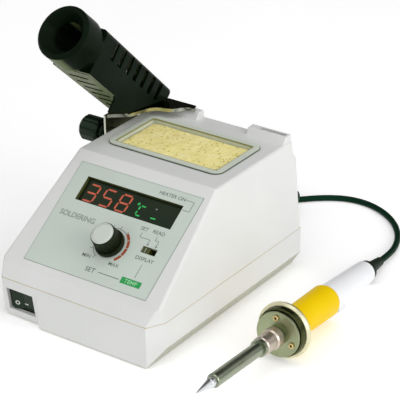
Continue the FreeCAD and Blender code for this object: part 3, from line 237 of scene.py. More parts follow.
class Paint:
    """A procedural material built up from noise layers round one shader."""

    def __init__(self, name, rough=0.5, metal=0.0, coat=0.0, specular=0.5, tint=(1, 1, 1)):
        self.material = bpy.data.materials.new(name)
        self.material.use_nodes = True
        tree = self.material.node_tree
        self.nodes, self.links = tree.nodes, tree.links
        self.shader = self.nodes["Principled BSDF"]
        self.shader.inputs["Metallic"].default_value = metal
        self.shader.inputs["Roughness"].default_value = rough
        self.shader.inputs["Coat Weight"].default_value = coat
        self.shader.inputs["Specular IOR Level"].default_value = specular
        self.shader.inputs["Specular Tint"].default_value = (*tint, 1)
        self.coords = self.nodes.new("ShaderNodeTexCoord").outputs["Object"]
        self.normal = None

    def stretched(self, scale):
        """The coordinates scaled unevenly."""
        mapping = self.nodes.new("ShaderNodeMapping")
        mapping.inputs["Scale"].default_value = scale
        self.links.new(self.coords, mapping.inputs["Vector"])
        return mapping.outputs["Vector"]

    def noise(self, scale, detail=2.0, rough=0.5, stretch=None):
        """Noise at so many cells per metre."""
        texture = self.nodes.new("ShaderNodeTexNoise")
        texture.inputs["Scale"].default_value = scale
        texture.inputs["Detail"].default_value = detail
        texture.inputs["Roughness"].default_value = rough
        self.links.new(self.stretched(stretch) if stretch else self.coords,
                       texture.inputs["Vector"])
        return texture.outputs["Fac"]

    def cells(self, scale):
        """Distance to the nearest of scattered points."""
        texture = self.nodes.new("ShaderNodeTexVoronoi")
        texture.inputs["Scale"].default_value = scale
        self.links.new(self.coords, texture.inputs["Vector"])
        return texture.outputs["Distance"]

    def ramp(self, value, *stops):
        """A colour ramp through (position, colour) stops."""
        node = self.nodes.new("ShaderNodeValToRGB")
        bar_stops = node.color_ramp.elements
        while len(bar_stops) < len(stops):
            bar_stops.new(0.5)
        for stop, (at, colour) in zip(bar_stops, stops):
            stop.position = at
            stop.color = (*colour, 1)
        self.links.new(value, node.inputs["Fac"])
        return node.outputs["Color"]

    def mixed(self, share, first, second, blend="MIX"):
        """Two colours mixed; each is a socket or a plain colour, and so is the share."""
        node = self.nodes.new("ShaderNodeMix")
        node.data_type = "RGBA"
        node.blend_type = blend
        for socket, value in ((node.inputs["Factor"], share), (node.inputs[6], first),
                              (node.inputs[7], second)):
            if isinstance(value, bpy.types.NodeSocket):
                self.links.new(value, socket)
            elif isinstance(value, tuple):
                socket.default_value = (*value, 1)
            else:
                socket.default_value = value
        return node.outputs[2]

    def span(self, value, low, high, to_low, to_high):
        """A value carried from one range to another and kept inside it."""
        node = self.nodes.new("ShaderNodeMapRange")
        for name, number in (("From Min", low), ("From Max", high), ("To Min", to_low),
                             ("To Max", to_high)):
            node.inputs[name].default_value = number
        self.links.new(value, node.inputs["Value"])
        return node.outputs["Result"]

    def colour(self, socket):
        """Sets the base colour."""
        self.links.new(socket, self.shader.inputs["Base Color"])

    def roughness(self, value, low, high, to_low, to_high):
        """Lets the roughness follow a texture."""
        self.links.new(self.span(value, low, high, to_low, to_high),
                       self.shader.inputs["Roughness"])

    def bump(self, value, depth, strength=1.0):
        """Adds a bump of a depth in millimetres over what is there already."""
        node = self.nodes.new("ShaderNodeBump")
        node.inputs["Distance"].default_value = depth * MM
        node.inputs["Strength"].default_value = strength
        self.links.new(value, node.inputs["Height"])
        if self.normal is not None:
            self.links.new(self.normal, node.inputs["Normal"])
        self.normal = node.outputs["Normal"]
        self.links.new(self.normal, self.shader.inputs["Normal"])

    def specks(self):
        """A little dust: sparse dull dots on white."""
        return self.ramp(self.cells(210), (0.02, (0.55, 0.54, 0.5)), (0.045, (1, 1, 1)))

    def normal_share(self, direction, low, high):
        """1 where the surface faces a direction of the world, 0 where it doesn't.

        The direction doesn't turn with a joint, so on a piece that turns the mask slides.
        """
        geometry = self.nodes.new("ShaderNodeNewGeometry")
        dot = self.nodes.new("ShaderNodeVectorMath")
        dot.operation = "DOT_PRODUCT"
        dot.inputs[1].default_value = direction
        self.links.new(geometry.outputs["True Normal"], dot.inputs[0])
        return self.span(dot.outputs["Value"], low, high, 0, 1)


def grained_plastic(name, light, dark, rough, grain=0.012, scale=2600, coat=0.0, specular=0.5,
                    tint=(1, 1, 1)):
    """Moulded plastic: faint cloudiness, fine moulded grain and a little dust."""
    paint = Paint(name, rough, coat=coat, specular=specular, tint=tint)
    clouds = paint.noise(28, 4)
    fine = paint.noise(scale, 2)
    tone = paint.ramp(clouds, (0.3, dark), (0.72, light))
    paint.colour(paint.mixed(0.35, tone, paint.specks(), "MULTIPLY"))
    paint.roughness(paint.noise(90, 3), 0.3, 0.7, rough - 0.06, rough + 0.08)
    paint.bump(fine, grain)
    paint.bump(paint.noise(60, 2), 0.05, 0.3)
    return paint.material


def turned_metal(name, light, dark, rough, streak=(60, 60, 2200)):
    """Metal with fine streaks; streak is their scale along the frame's X, Y and Z."""
    paint = Paint(name, rough, metal=1.0)
    lines = paint.noise(1.0, 4, 0.6, streak)
    clouds = paint.noise(45, 3)
    paint.colour(paint.mixed(0.5, paint.ramp(clouds, (0.3, dark), (0.75, light)),
                             paint.ramp(lines, (0.3, dark), (0.7, light))))
    paint.roughness(lines, 0.2, 0.8, rough - 0.08, rough + 0.12)
    paint.bump(lines, 0.01)
    return paint.material


def printed(name, colour):
    """Printing ink, slightly uneven."""
    paint = Paint(name)
    dark = tuple(part * 0.75 for part in colour)
    paint.colour(paint.ramp(paint.noise(900, 3), (0.35, dark), (0.6, colour)))
    paint.bump(paint.noise(1500, 2), 0.008)
    return paint.material


def glowing(name, bright, dim, strength):
    """A lit display segment, slightly uneven."""
    paint = Paint(name, 0.4)
    tone = paint.ramp(paint.noise(500, 2), (0.3, dim), (0.65, bright))
    paint.colour(tone)
    paint.links.new(tone, paint.shader.inputs["Emission Color"])
    paint.shader.inputs["Emission Strength"].default_value = strength
    return paint.material


# ---------------------------------------------------------------- materials

def shell_paint():
    """Pale moulded case. Faces that point down are olive grey, as the photograph shows them.

    The olive grey is painted shade, not the plastic's own colour.
    """
    paint = Paint("shell_plastic", 0.42)
    clouds = paint.noise(28, 4)
    pale = paint.ramp(clouds, (0.3, (0.67, 0.68, 0.665)), (0.72, (0.70, 0.705, 0.695)))
    olive = paint.ramp(clouds, (0.3, (0.27, 0.27, 0.17)), (0.72, (0.33, 0.33, 0.22)))
    # faces that point down get the olive grey of painted shade
    tone = paint.mixed(paint.normal_share((0, 0, -1), 0.3, 0.62), pale, olive)
    paint.colour(paint.mixed(0.35, tone, paint.specks(), "MULTIPLY"))
    paint.roughness(paint.noise(90, 3), 0.3, 0.7, 0.36, 0.5)
    paint.bump(paint.noise(2600, 2), 0.012)
    paint.bump(paint.noise(60, 2), 0.05, 0.3)
    return paint.material


SHELL = shell_paint()
TRAY = grained_plastic("tray_plastic", (0.66, 0.70, 0.62), (0.58, 0.62, 0.53), 0.45)
OVERLAY = grained_plastic("overlay_film", (0.55, 0.62, 0.56), (0.515, 0.58, 0.525), 0.38,
                          0.006, 5000)
CAP = grained_plastic("cap_plastic", (0.56, 0.605, 0.55), (0.52, 0.565, 0.51), 0.4)
GREENISH = (0.6, 1.0, 0.66)
BLACK = grained_plastic("black_plastic", (0.006, 0.011, 0.006), (0.003, 0.006, 0.003), 0.3,
                        0.012, 1800, specular=0.3, tint=GREENISH)
KNOB_BLACK = grained_plastic("knob_plastic", (0.012, 0.015, 0.005), (0.006, 0.008, 0.003), 0.34,
                             0.012, 1800, specular=0.16, tint=GREENISH)
DARK = grained_plastic("dark_plastic", (0.05, 0.055, 0.05), (0.03, 0.035, 0.03), 0.45)
WHITE = grained_plastic("white_plastic", (0.83, 0.83, 0.85), (0.77, 0.78, 0.80), 0.33, 0.01,
                        2200, coat=0.1)
GRIP = grained_plastic("grip_rubber", (0.82, 0.56, 0.001), (0.75, 0.50, 0.001), 0.5, 0.02,
                       1500, specular=0.25, tint=(1.0, 0.8, 0.2))
RUBBER = grained_plastic("black_rubber", (0.012, 0.018, 0.013), (0.006, 0.01, 0.007), 0.5,
                         0.03, 1500, specular=0.25, tint=GREENISH)
CORD = grained_plastic("cord_rubber", (0.006, 0.026, 0.014), (0.003, 0.016, 0.008), 0.42,
                       0.012, 2000, specular=0.1, tint=(0.2, 1.0, 0.55))
ZINC = turned_metal("zinc_steel", (0.72, 0.72, 0.70), (0.52, 0.52, 0.50), 0.3)
TIP = turned_metal("tip_plating", (0.80, 0.81, 0.83), (0.62, 0.63, 0.66), 0.3)
RIM = turned_metal("rim_plating", (0.84, 0.82, 0.60), (0.66, 0.63, 0.40), 0.36)
BARREL = turned_metal("barrel_steel", (0.37, 0.40, 0.31), (0.22, 0.25, 0.17), 0.3,
                      (400, 25, 400))
NUT = turned_metal("nut_steel", (0.72, 0.63, 0.56), (0.48, 0.41, 0.34), 0.36)
DISC = turned_metal("disc_steel", (0.40, 0.44, 0.28), (0.25, 0.28, 0.16), 0.3, (90, 600, 90))
CUP = turned_metal("cup_brass", (0.12, 0.13, 0.05), (0.03, 0.035, 0.012), 0.24)
PIN = turned_metal("pin_brass", (0.80, 0.62, 0.30), (0.62, 0.46, 0.2), 0.3)
SINK = turned_metal("sink_aluminium", (0.75, 0.76, 0.77), (0.6, 0.61, 0.62), 0.35)
CORE = turned_metal("core_steel", (0.2, 0.2, 0.22), (0.1, 0.1, 0.11), 0.45, (40, 1800, 40))
CAN = grained_plastic("can_sleeve", (0.03, 0.04, 0.09), (0.02, 0.03, 0.07), 0.3)
CERAMIC = grained_plastic("heater_ceramic", (0.82, 0.8, 0.75), (0.76, 0.74, 0.7), 0.5)
TAPE = grained_plastic("winding_tape", (0.72, 0.52, 0.08), (0.6, 0.42, 0.06), 0.35)
BOARD = grained_plastic("board_laminate", (0.05, 0.24, 0.1), (0.03, 0.17, 0.07), 0.35)
INK = printed("legend_ink", (0.13, 0.17, 0.14))
PALE_INK = printed("pale_ink", (0.30, 0.37, 0.32))
GREEN_INK = printed("green_ink", (0.01, 0.33, 0.07))
WHITE_INK = printed("white_ink", (0.85, 0.88, 0.82))
BROWN_INK = printed("brown_ink", (0.36, 0.065, 0.016))
LIGHT_GREEN_INK = printed("light_green_ink", (0.35, 0.75, 0.4))
OLIVE = grained_plastic("switch_plastic", (0.075, 0.085, 0.01), (0.05, 0.055, 0.006), 0.4)
# dark olive bands on the window recess's walls: painted shade
RECESS_SHADE = grained_plastic("window_recess_shade", (0.066, 0.075, 0.014), (0.05, 0.06, 0.01), 0.5)
SEAM = grained_plastic("seam_strip", (0.56, 0.46, 0.22), (0.46, 0.37, 0.16), 0.5)
# dark band round the tray's rim: painted shadow of the gap under it
TRAY_EDGE_SHADOW = grained_plastic("tray_edge_shadow", (0.10, 0.13, 0.09), (0.07, 0.09, 0.06), 0.5)
TRAY_LINE = grained_plastic("tray_line", (0.30, 0.31, 0.14), (0.22, 0.23, 0.09), 0.5)
RED_GLOW = glowing("red_segments", (0.42, 0.082, 0.042), (0.33, 0.06, 0.03), 0.38)
GREEN_GLOW = glowing("green_segments", (0.02, 0.42, 0.10), (0.01, 0.26, 0.05), 0.4)


def holder_paint():
    """Black moulding. Its underside at rest is olive grey, as the photograph shows it.

    The olive grey is a painted reflection, not the plastic's own colour. The mask is a world
    direction, so it slides over the holder as that tilts.
    """
    paint = Paint("holder_plastic", 0.3, specular=0.03, tint=GREENISH)
    clouds = paint.noise(40, 3)
    black = paint.ramp(clouds, (0.3, (0.002, 0.005, 0.002)), (0.75, (0.006, 0.011, 0.006)))
    olive = paint.ramp(clouds, (0.3, (0.09, 0.115, 0.045)), (0.75, (0.15, 0.175, 0.085)))
    under = (0, -math.sin(HOLDER_RISE), -math.cos(HOLDER_RISE))
    # the holder's underside gets the olive grey of a painted reflection
    paint.colour(paint.mixed(paint.normal_share(under, 0.9, 0.97), black, olive))
    paint.roughness(paint.noise(120, 3), 0.3, 0.7, 0.24, 0.4)
    paint.bump(paint.noise(1600, 2), 0.012)
    return paint.material


def bracket_paint():
    """Plated sheet. Its right and top faces are dark olive, as the photograph shows them.

    The dark olive is a painted reflection, not the plating's own colour.
    """
    paint = Paint("chromed_steel", 0.14, metal=1.0)
    lines = paint.noise(1.0, 4, 0.6, (300, 40, 40))
    bright = paint.ramp(lines, (0.3, (0.46, 0.47, 0.38)), (0.7, (0.64, 0.65, 0.56)))
    # dark olive for the right and top faces: painted reflection
    dull = paint.ramp(lines, (0.3, (0.08, 0.085, 0.045)), (0.7, (0.13, 0.135, 0.08)))
    side = paint.mixed(paint.normal_share((1, 0, 0), 0.9, 0.99), bright, dull)
    paint.colour(paint.mixed(paint.normal_share((0, 0, 1), 0.9, 0.99), side, dull))
    paint.roughness(lines, 0.2, 0.8, 0.08, 0.22)
    paint.bump(lines, 0.01)
    return paint.material


def window_paint():
    """Smoked filter in front of the display."""
    paint = Paint("smoked_window", 0.16, specular=0.3, tint=GREENISH)
    paint.colour(paint.ramp(paint.noise(35, 3), (0.3, (0.004, 0.006, 0.003)),
                            (0.7, (0.012, 0.014, 0.006))))
    paint.bump(paint.noise(200, 2), 0.01)
    return paint.material


def sponge_paint():
    """Open-cell sponge: pale yellow with painted shade in its pores and uneven tone."""
    paint = Paint("sponge_foam", 0.85, specular=0.25)
    patches = paint.noise(150, 5, 0.65)
    base = paint.ramp(patches, (0.3, (0.84, 0.73, 0.28)), (0.5, (0.92, 0.82, 0.36)),
                      (0.72, (0.96, 0.88, 0.46)))
    # darker cells: painted shade in the pores
    pores = paint.ramp(paint.cells(330), (0.05, (0.45, 0.36, 0.10)), (0.2, (1, 1, 1)))
    dots = paint.ramp(paint.cells(290), (0.15, (0.52, 0.46, 0.09)), (0.24, (1, 1, 1)))
    grain = paint.ramp(paint.noise(1100, 4, 0.7), (0.35, (0.72, 0.66, 0.45)), (0.55, (1, 1, 1)))
    tone = paint.mixed(0.45, base, pores, "MULTIPLY")
    tone = paint.mixed(0.8, tone, dots, "MULTIPLY")
    paint.colour(paint.mixed(0.3, tone, grain, "MULTIPLY"))
    paint.bump(paint.cells(330), 0.6, 0.5)
    paint.bump(paint.cells(820), 0.3, 0.5)
    paint.bump(paint.noise(400, 4), 0.3, 0.5)
    return paint.material


HOLDER_PAINT = holder_paint()
CHROME = bracket_paint()
WINDOW = window_paint()
SPONGE = sponge_paint()

NODE_PAINT = {
    SHELL: ("upper_shell", "lower_shell"),
    TRAY: ("sponge_tray",),
    OVERLAY: ("panel_overlay",),
    CAP: ("knob_cap",),
    WINDOW: ("display_window",),
    KNOB_BLACK: ("temp_knob",),
    BLACK: ("power_switch_housing", "power_rocker", "mains_inlet", "fuse_holder", "fuse_cap",
            "clamp_knob", "iron_plug", "cord_tie"),
    DARK: ("display_digits", "potentiometer"),
    OLIVE: ("display_switch_body", "display_switch_button"),
    HOLDER_PAINT: ("holder_body", "holder_left_plate", "holder_right_plate", "holder_funnel"),
    WHITE: ("iron_handle", "handle_lug", "board_spacers", "power_board_standoffs"),
    GRIP: ("iron_grip",),
    RUBBER: ("rubber_feet", "guard_gasket", "iron_boot", "plug_boot"),
    CHROME: ("holder_bracket",),
    ZINC: ("case_screws", "control_shaft", "clamp_screw", "clamp_nut", "iron_socket",
           "plug_ring", "fuse_link", "holder_spring"),
    TIP: ("iron_tip",),
    RIM: ("guard_rim",),
    BARREL: ("iron_barrel",),
    NUT: ("barrel_nut",),
    DISC: ("guard_disc",),
    CUP: ("guard_cup",),
    PIN: ("inlet_pins", "guard_rivets"),
    SINK: ("heat_sink",),
    CORE: ("transformer_core",),
    CAN: ("filter_capacitors",),
    CERAMIC: ("heater_element",),
    TAPE: ("transformer_winding",),
    BOARD: ("main_board", "power_board"),
}


def paint_nodes():
    """Every carried-over CAD node gets its material."""
    for material, names in NODE_PAINT.items():
        for name in names:
            slots = nodes[name].data.materials
            slots.clear()
            slots.append(material)


paint_nodes()


def soften_edges(width, *names):
    """A small round on the edges of a CAD node, as a modifier; its mesh isn't changed."""
    for name in names:
        bevel = nodes[name].modifiers.new("edge", "BEVEL")
        bevel.width = width * MM
        bevel.segments = 2
        bevel.limit_method = "ANGLE"
        bevel.angle_limit = math.radians(40)


soften_edges(0.35, "holder_bracket")
soften_edges(0.3, "lower_shell")


# ---------------------------------------------------------------- lead

CORD_DIAMETER = 4.0
BENCH = -1
REST = BENCH + CORD_DIAMETER / 2
COIL_CENTRE = (-40, 214)
COIL_RINGS = (27.1, 23.0, 18.9)
COIL_LOW, COIL_HIGH = 1.6, 5.7
COIL_ORDER = ([(ring, COIL_LOW) for ring in COIL_RINGS]
              + [(ring, COIL_HIGH) for ring in COIL_RINGS[::-1]])
COIL_START, COIL_END = 315, 90 - 5 * 360
POINTS_A_TURN = 16
STEP_FROM, STEP_TO = 20, 60  # the angles between which the cord passes to the next ring
CLIMB_INSET = 1.6


def coil_points():
    """The coil from its exit on the lowest outer ring, inwards, up and out again."""
    shrink = math.cos(math.pi / POINTS_A_TURN)
    each = 360 / POINTS_A_TURN
    count = round((COIL_START - COIL_END) / each)
    last = len(COIL_ORDER) - 1
    points = []
    for at in range(1, count):
        angle = COIL_START - (COIL_START - COIL_END) * at / count
        passed = (STEP_TO - angle) / 360
        turn = math.floor(passed)
        part = (passed - turn) * 360 / (STEP_TO - STEP_FROM)
        share = min(1, max(0, part))
        share = share * share * (3 - 2 * share)
        before = COIL_ORDER[min(last, max(0, turn))]
        after = COIL_ORDER[min(last, max(0, turn + 1))]
        radius = before[0] + (after[0] - before[0]) * share
        height = before[1] + (after[1] - before[1]) * share
        if before[1] != after[1]:
            radius -= CLIMB_INSET * math.sin(math.pi * share)
        radius /= shrink
        points.append((COIL_CENTRE[0] + radius * math.cos(math.radians(angle)),
                       COIL_CENTRE[1] + radius * math.sin(math.radians(angle)), height))
    return points


def make_lead():
    """One lead from the handle's boot along the bench, through the coil, to the plug."""
    iron_way = IRON.to_3x3() @ Vector((0, 0, 1))
    leave = IRON @ Vector((0, 0, (BOOT_END - NUT_PLACE) * MM))
    on_bench = [(98.3, 205.5, REST + 0.5), (91.5, 219.5, REST), (81, 232, REST),
                (67.5, 241.2, REST), (52.5, 246, REST), (37.5, 244.8, REST),
                (24, 237.5, REST), (12.6, 227, REST), (1.5, 215.5, REST),
                (-10.5, 204.6, REST + 0.2), (-20.84, 194.84, COIL_LOW)]
    to_plug = [(-40, 241.1, COIL_HIGH), (-23, 237.5, 6.2), (-9, 228.5, 7.6), (5.5, 221.5, 9.6),
               (17.5, 214, 12.2), (23.6, 203, 13.2), (24, 189, 13.2)]
    route = [leave, leave + iron_way * 14 * MM]
    route += [spot(*point) for point in on_bench + coil_points() + to_plug]
    curve = bpy.data.curves.new("iron_cord", "CURVE")
    curve.dimensions = "3D"
    curve.bevel_depth = 1
    curve.bevel_resolution = 6
    curve.resolution_u = 6
    spline = curve.splines.new("NURBS")
    spline.points.add(len(route) - 1)
    for point, place in zip(spline.points, route):
        point.co = (*place, 1)
        point.radius = CORD_DIAMETER / 2 * MM
    spline.order_u = 3
    spline.use_endpoint_u = True
    cord = add_object("iron_cord", curve)
    finish_piece(cord, "station", CORD)
    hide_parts("plug_lead", "cord_coil", "iron_lead")


make_lead()


# ---------------------------------------------------------------- display and printing

SEGMENTS = {"a": ((0, 1), (1, 1)), "b": ((1, 1), (1, 0.5)), "c": ((1, 0.5), (1, 0)),
            "d": ((0, 0), (1, 0)), "e": ((0, 0.5), (0, 0)), "f": ((0, 1), (0, 0.5)),
            "g": ((0, 0.5), (1, 0.5))}
DIGIT_SHAPES = {"3": "abcdg", "5": "acdfg", "8": "abcdefg", "C": "adef"}
DIGIT_SLANT, SEGMENT_GAP, SEGMENT_DEPTH = 0.9, 0.35, 0.05


def digit(shape, left, low, width, tall, thick, lift):
    """The lit bars of one digit, leaning to the right."""
    parts = []
    for letter in DIGIT_SHAPES[shape]:
        (x0, y0), (x1, y1) = SEGMENTS[letter]
        start = Vector((left + x0 * width + (y0 - 0.5) * DIGIT_SLANT, low + y0 * tall))
        end = Vector((left + x1 * width + (y1 - 0.5) * DIGIT_SLANT, low + y1 * tall))
        way = (end - start).normalized()
        side = Vector((-way.y, way.x)) * thick / 2
        gap = way * SEGMENT_GAP
        start, end = start + gap, end - gap
        inset = way * thick / 2
        outline = [start, start + inset - side, end - inset - side, end, end - inset + side,
                   start + inset + side]
        parts.append(slab([tuple(p) for p in outline], lift, lift + SEGMENT_DEPTH))
    return join_parts(parts)


def make_display():
    """Red temperature digits, the green unit and bar, the lamp, and painted shade on the window
    recess's walls.
    """
    low, tall, width, thick = 53.5, 11.3, 7.2, 1.2
    lift = WINDOW_TOP + 0.02
    for name, shape, left in (("digit_hundreds", "3", -31.0), ("digit_tens", "5", -18.8),
                              ("digit_units", "8", -6.7)):
        piece = mesh_from(name, *digit(shape, left, low, width, tall, thick, lift), PANEL)
        finish_piece(piece, "station", RED_GLOW)
    unit = digit("C", 8.4, 54.5, 4.0, 6.6, 0.95, lift)
    ring = arc_band((6.9, 61.8), 0.4, 0.9, 0, 355, lift, lift + SEGMENT_DEPTH)
    piece = mesh_from("display_unit", *join_parts([unit, ring]), PANEL)
    finish_piece(piece, "station", GREEN_GLOW)
    bar_parts = bar((19.0, 55.5), (22.5, 55.7), 0.8, lift, lift + SEGMENT_DEPTH)
    finish_piece(mesh_from("display_bar", *bar_parts, PANEL), "station",
                 GREEN_GLOW)
    lamp = arc_band((19.8, 61.9), 0.05, 0.5, 0, 355, lift, lift + SEGMENT_DEPTH)
    finish_piece(mesh_from("display_lamp", *lamp, PANEL), "station", PALE_INK)
    left, right, low, high = WINDOW_LEFT, WINDOW_RIGHT, WINDOW_LOW, WINDOW_HIGH
    depth = 0.12
    runs = [((left + depth / 2, low), (left + depth / 2, high)),
            ((right - depth / 2, low), (right - depth / 2, high)),
            ((left, high - depth / 2), (right, high - depth / 2)),
            ((left, low + depth / 2), (right, low + depth / 2))]
    # thin dark bands on the recess walls: painted shade
    walls = [bar(start, end, depth, WINDOW_TOP + 0.05, 0) for start, end in runs]
    finish_piece(mesh_from("window_recess_shade", *join_parts(walls), PANEL), "station",
                 RECESS_SHADE)


def make_legends():
    """The panel's printed words, lines, arrows and the knob's scale."""
    lift = OVERLAY_TOP + PRINT_LIFT
    top = lift + PRINT_THICK
    words = [("MIN", -5.3, 18.6, 2.3), ("MAX", 14.9, 18.4, 2.3), ("SET", 2.3, 10.6, 3.0),
             ("SET", 21.3, 45.8, 2.3), ("READ", 31.6, 46.0, 2.3), ("DISPLAY", 32.0, 27.6, 2.3),
             ("HEATER ON", 26.8, 70.9, 2.3)]
    for at, (text, x, y, height) in enumerate(words):
        piece = lettering("legend_%d" % at, text, x, y, height, PANEL, top, bold=0.006,
                          squeeze=1.05)
        finish_piece(piece, "station", INK)
    piece = lettering("legend_title", "SOLDERING", -25.6, 39.6, 3.4, PANEL, top, bold=0.03)
    finish_piece(piece, "station", PALE_INK)

    line = 0.32
    runs = [((32.4, 25.2), (32.4, 16.2)),
            ((36.3, 72), (42.5, 72)), ((42.5, 72), (42.5, 65.4)), ((42.5, 65.4), (37.6, 65.4)),
            ((21.1, 44.2), (21.1, 41.2)), ((21.1, 41.2), (28.6, 41.2)),
            ((28.6, 41.2), (28.6, 38.2)), ((31.9, 44.4), (31.9, 41.9)),
            ((31.9, 41.9), (34.6, 41.9)), ((34.6, 41.9), (34.6, 38.2))]
    parts = [bar(start, end, line, lift, top) for start, end in runs]
    parts.append(bar((8.2, 12.1), (23.4, 12.1), 0.45, lift, top))
    for x in (28.6, 34.6):
        parts.append(slab([(x - 0.7, 38.6), (x, 37.1), (x + 0.7, 38.6)], lift, top))
    for tick in (-150, -118, -86, -20, 4, 33):
        swing = math.radians(tick)
        start, end = [(KNOB_CENTRE[0] + reach * math.sin(swing),
                       KNOB_CENTRE[1] + reach * math.cos(swing)) for reach in (10.9, 13.0)]
        parts.append(bar(start, end, line, lift, top))
    parts.append(arc_band(KNOB_CENTRE, 10.75, 11.1, -150, 34, lift, top))
    finish_piece(mesh_from("legend_lines", *join_parts(parts), PANEL), "station",
                 INK)
    arcs = [arc_band(KNOB_CENTRE, 10.6, 12.4, first, first + 24, lift, top)
            for first in (36, 62, 88, 114)]
    finish_piece(mesh_from("scale_arcs", *join_parts(arcs), PANEL), "station",
                 BROWN_INK)
    outline = [(24.6, 10.5), (38.9, 10.5), (38.9, 14.6), (24.6, 14.6)]
    finish_piece(mesh_from("temp_box", *slab(outline, lift, top), PANEL), "station",
                 GREEN_INK)
    piece = lettering("temp_word", "TEMP", 31.75, 11.4, 2.4, PANEL, top + PRINT_THICK,
                      bold=0.01, squeeze=1.1)
    finish_piece(piece, "station", LIGHT_GREEN_INK)

    corners = [(OVERLAY_LEFT, OVERLAY_LOW), (OVERLAY_RIGHT, OVERLAY_LOW),
               (OVERLAY_RIGHT, OVERLAY_HIGH), (OVERLAY_LEFT, OVERLAY_HIGH)]
    frame_lines = [bar(start, end, 0.28, OVERLAY_TOP, top)
                   for start, end in zip(corners, corners[1:] + corners[:1])]
    finish_piece(mesh_from("overlay_edge", *join_parts(frame_lines), PANEL), "station",
                 PALE_INK)


def make_marks():
    """The rocker's marks, the display switch's line and a painted highlight on the knob's top
    edge.
    """
    face = math.atan2(0.9, 7.8)
    left = placed(ROCKER, 0, 0, 0, Matrix.Rotation(face, 4, "Y"))
    ring = arc_band((-4.7, -2.3), 0.95, 1.45, 0, 355, 0.02, 0.07)
    finish_piece(mesh_from("rocker_ring", *ring, left), "power_switch",
                 WHITE_INK)
    right = placed(ROCKER, 0, 0, 0, Matrix.Rotation(-face, 4, "Y"))
    line = bar((0.1, -2.5), (2.8, -2.5), 0.62, 0.02, 0.07)
    finish_piece(mesh_from("rocker_line", *line, right), "power_switch",
                 WHITE_INK)
    mark = bar((29.05, 33.0), (29.05, 36.2), 0.5, -0.29, -0.24)
    finish_piece(mesh_from("button_mark", *mark, PANEL), "display_switch",
                 PALE_INK)
    # pale ring on the knob's top edge: painted highlight
    edge = arc_band(KNOB_CENTRE, 6.42, 7.05, 0, 359, 12.7, 12.76)
    finish_piece(mesh_from("knob_edge_highlight", *edge, PANEL), "temp_control", CAP)


def rounded(left, right, low, high, corner):
    """A rectangle's outline with rounded corners, anticlockwise."""
    steps = 6
    points = []
    for x, y, first in ((right - corner, low + corner, -90), (right - corner, high - corner, 0),
                        (left + corner, high - corner, 90), (left + corner, low + corner, 180)):
        for at in range(steps + 1):
            angle = math.radians(first + 90 * at / steps)
            points.append((x + corner * math.cos(angle), y + corner * math.sin(angle)))
    return points


def ring_band(outer, inner, low, high):
    """A closed band between two outlines with the same number of points."""
    count = len(outer)
    vertices = []
    for outline, level in ((outer, low), (outer, high), (inner, high), (inner, low)):
        vertices += [(x, y, level) for x, y in outline]
    faces = []
    for side in range(4):
        start, end = side * count, (side + 1) % 4 * count
        for at in range(count):
            after = (at + 1) % count
            faces.append((start + at, start + after, end + after, end + at))
    return vertices, faces


def case_plan(inset):
    """The case's plan at the seam, moved inwards by an inset."""
    half, depth, run = 60, 152, 11.6
    front, side = 53.9 - 0.603 * inset, run + 0.247 * inset
    return [(-front, inset), (front, inset), (half - inset, side), (half - inset, depth - inset),
            (inset - half, depth - inset), (inset - half, side)]


def make_seam():
    """The thin yellowish strip that shows between the two shells."""
    band = ring_band(case_plan(0.12), case_plan(1.1), 26.22, 26.58)
    finish_piece(mesh_from("seam_strip", *band, STATION), "station", SEAM)


TRAY_HALF, TRAY_FRONT, TRAY_BACK, TRAY_CORNER, ROOF = 42.2, 89.4, 137.3, 6, 82.55


def make_tray_lines():
    """Two thin lines on the tray's rim: a painted shadow along its outer edge, and one inside
    it.

    When the sponge lifts, it touches the inner one.
    """
    for name, material, grow, shrink, low, high in (
            ("tray_edge_shadow", TRAY_EDGE_SHADOW, 0.4, -0.02, 0.15, 0.75),
            ("tray_line", TRAY_LINE, -3.9, 4.2, 0.2, 1.14)):
        outer = rounded(-TRAY_HALF - grow, TRAY_HALF + grow, TRAY_FRONT - grow,
                        TRAY_BACK + grow, TRAY_CORNER + min(0.4, grow))
        inner = rounded(-TRAY_HALF + shrink, TRAY_HALF - shrink, TRAY_FRONT + shrink,
                        TRAY_BACK - shrink, TRAY_CORNER - max(0, shrink - 1))
        band = ring_band(outer, inner, ROOF + low, ROOF + high)
        finish_piece(mesh_from(name, *band, STATION), "tray", material)


def make_eyelets():
    """Rolled brass eyelets over the guard's rivets, their holes black discs of painted shade."""
    rings = ((0.75, -0.1), (0.78, 0.2), (1.1, 0.42), (1.55, 0.36), (1.75, 0.05),
             (1.72, -0.6), (0.9, -0.8))
    steps = 24
    for at in range(RIVETS):
        angle = math.radians(RIVET_FIRST + 360 / RIVETS * at)
        place = placed(IRON, RIVET_RADIUS * math.cos(angle), RIVET_RADIUS * math.sin(angle),
                       GUARD_FACE - NUT_PLACE, Matrix.Rotation(math.pi, 4, "X"))
        vertices = [(radius * math.cos(2 * math.pi * k / steps),
                     radius * math.sin(2 * math.pi * k / steps), level)
                    for radius, level in rings for k in range(steps)]
        faces = []
        for ring in range(len(rings)):
            start, end = ring * steps, (ring + 1) % len(rings) * steps
            for k in range(steps):
                after = (k + 1) % steps
                faces.append((start + k, start + after, end + after, end + k))
        eyelet = mesh_from("eyelet_%d" % at, vertices, faces, place)
        for face in eyelet.data.polygons:
            face.use_smooth = True
        finish_piece(eyelet, "station", PIN)
        # black disc in each eyelet's hole: painted shade
        hole = [(0.76 * math.cos(2 * math.pi * k / steps),
                 0.76 * math.sin(2 * math.pi * k / steps)) for k in range(steps)]
        finish_piece(mesh_from("eyelet_hole_%d" % at, *slab(hole, -0.05, 0.03), place),
                     "station", BLACK)


make_display()
make_legends()
make_marks()
make_seam()
make_tray_lines()
make_eyelets()


# ---------------------------------------------------------------- sponge

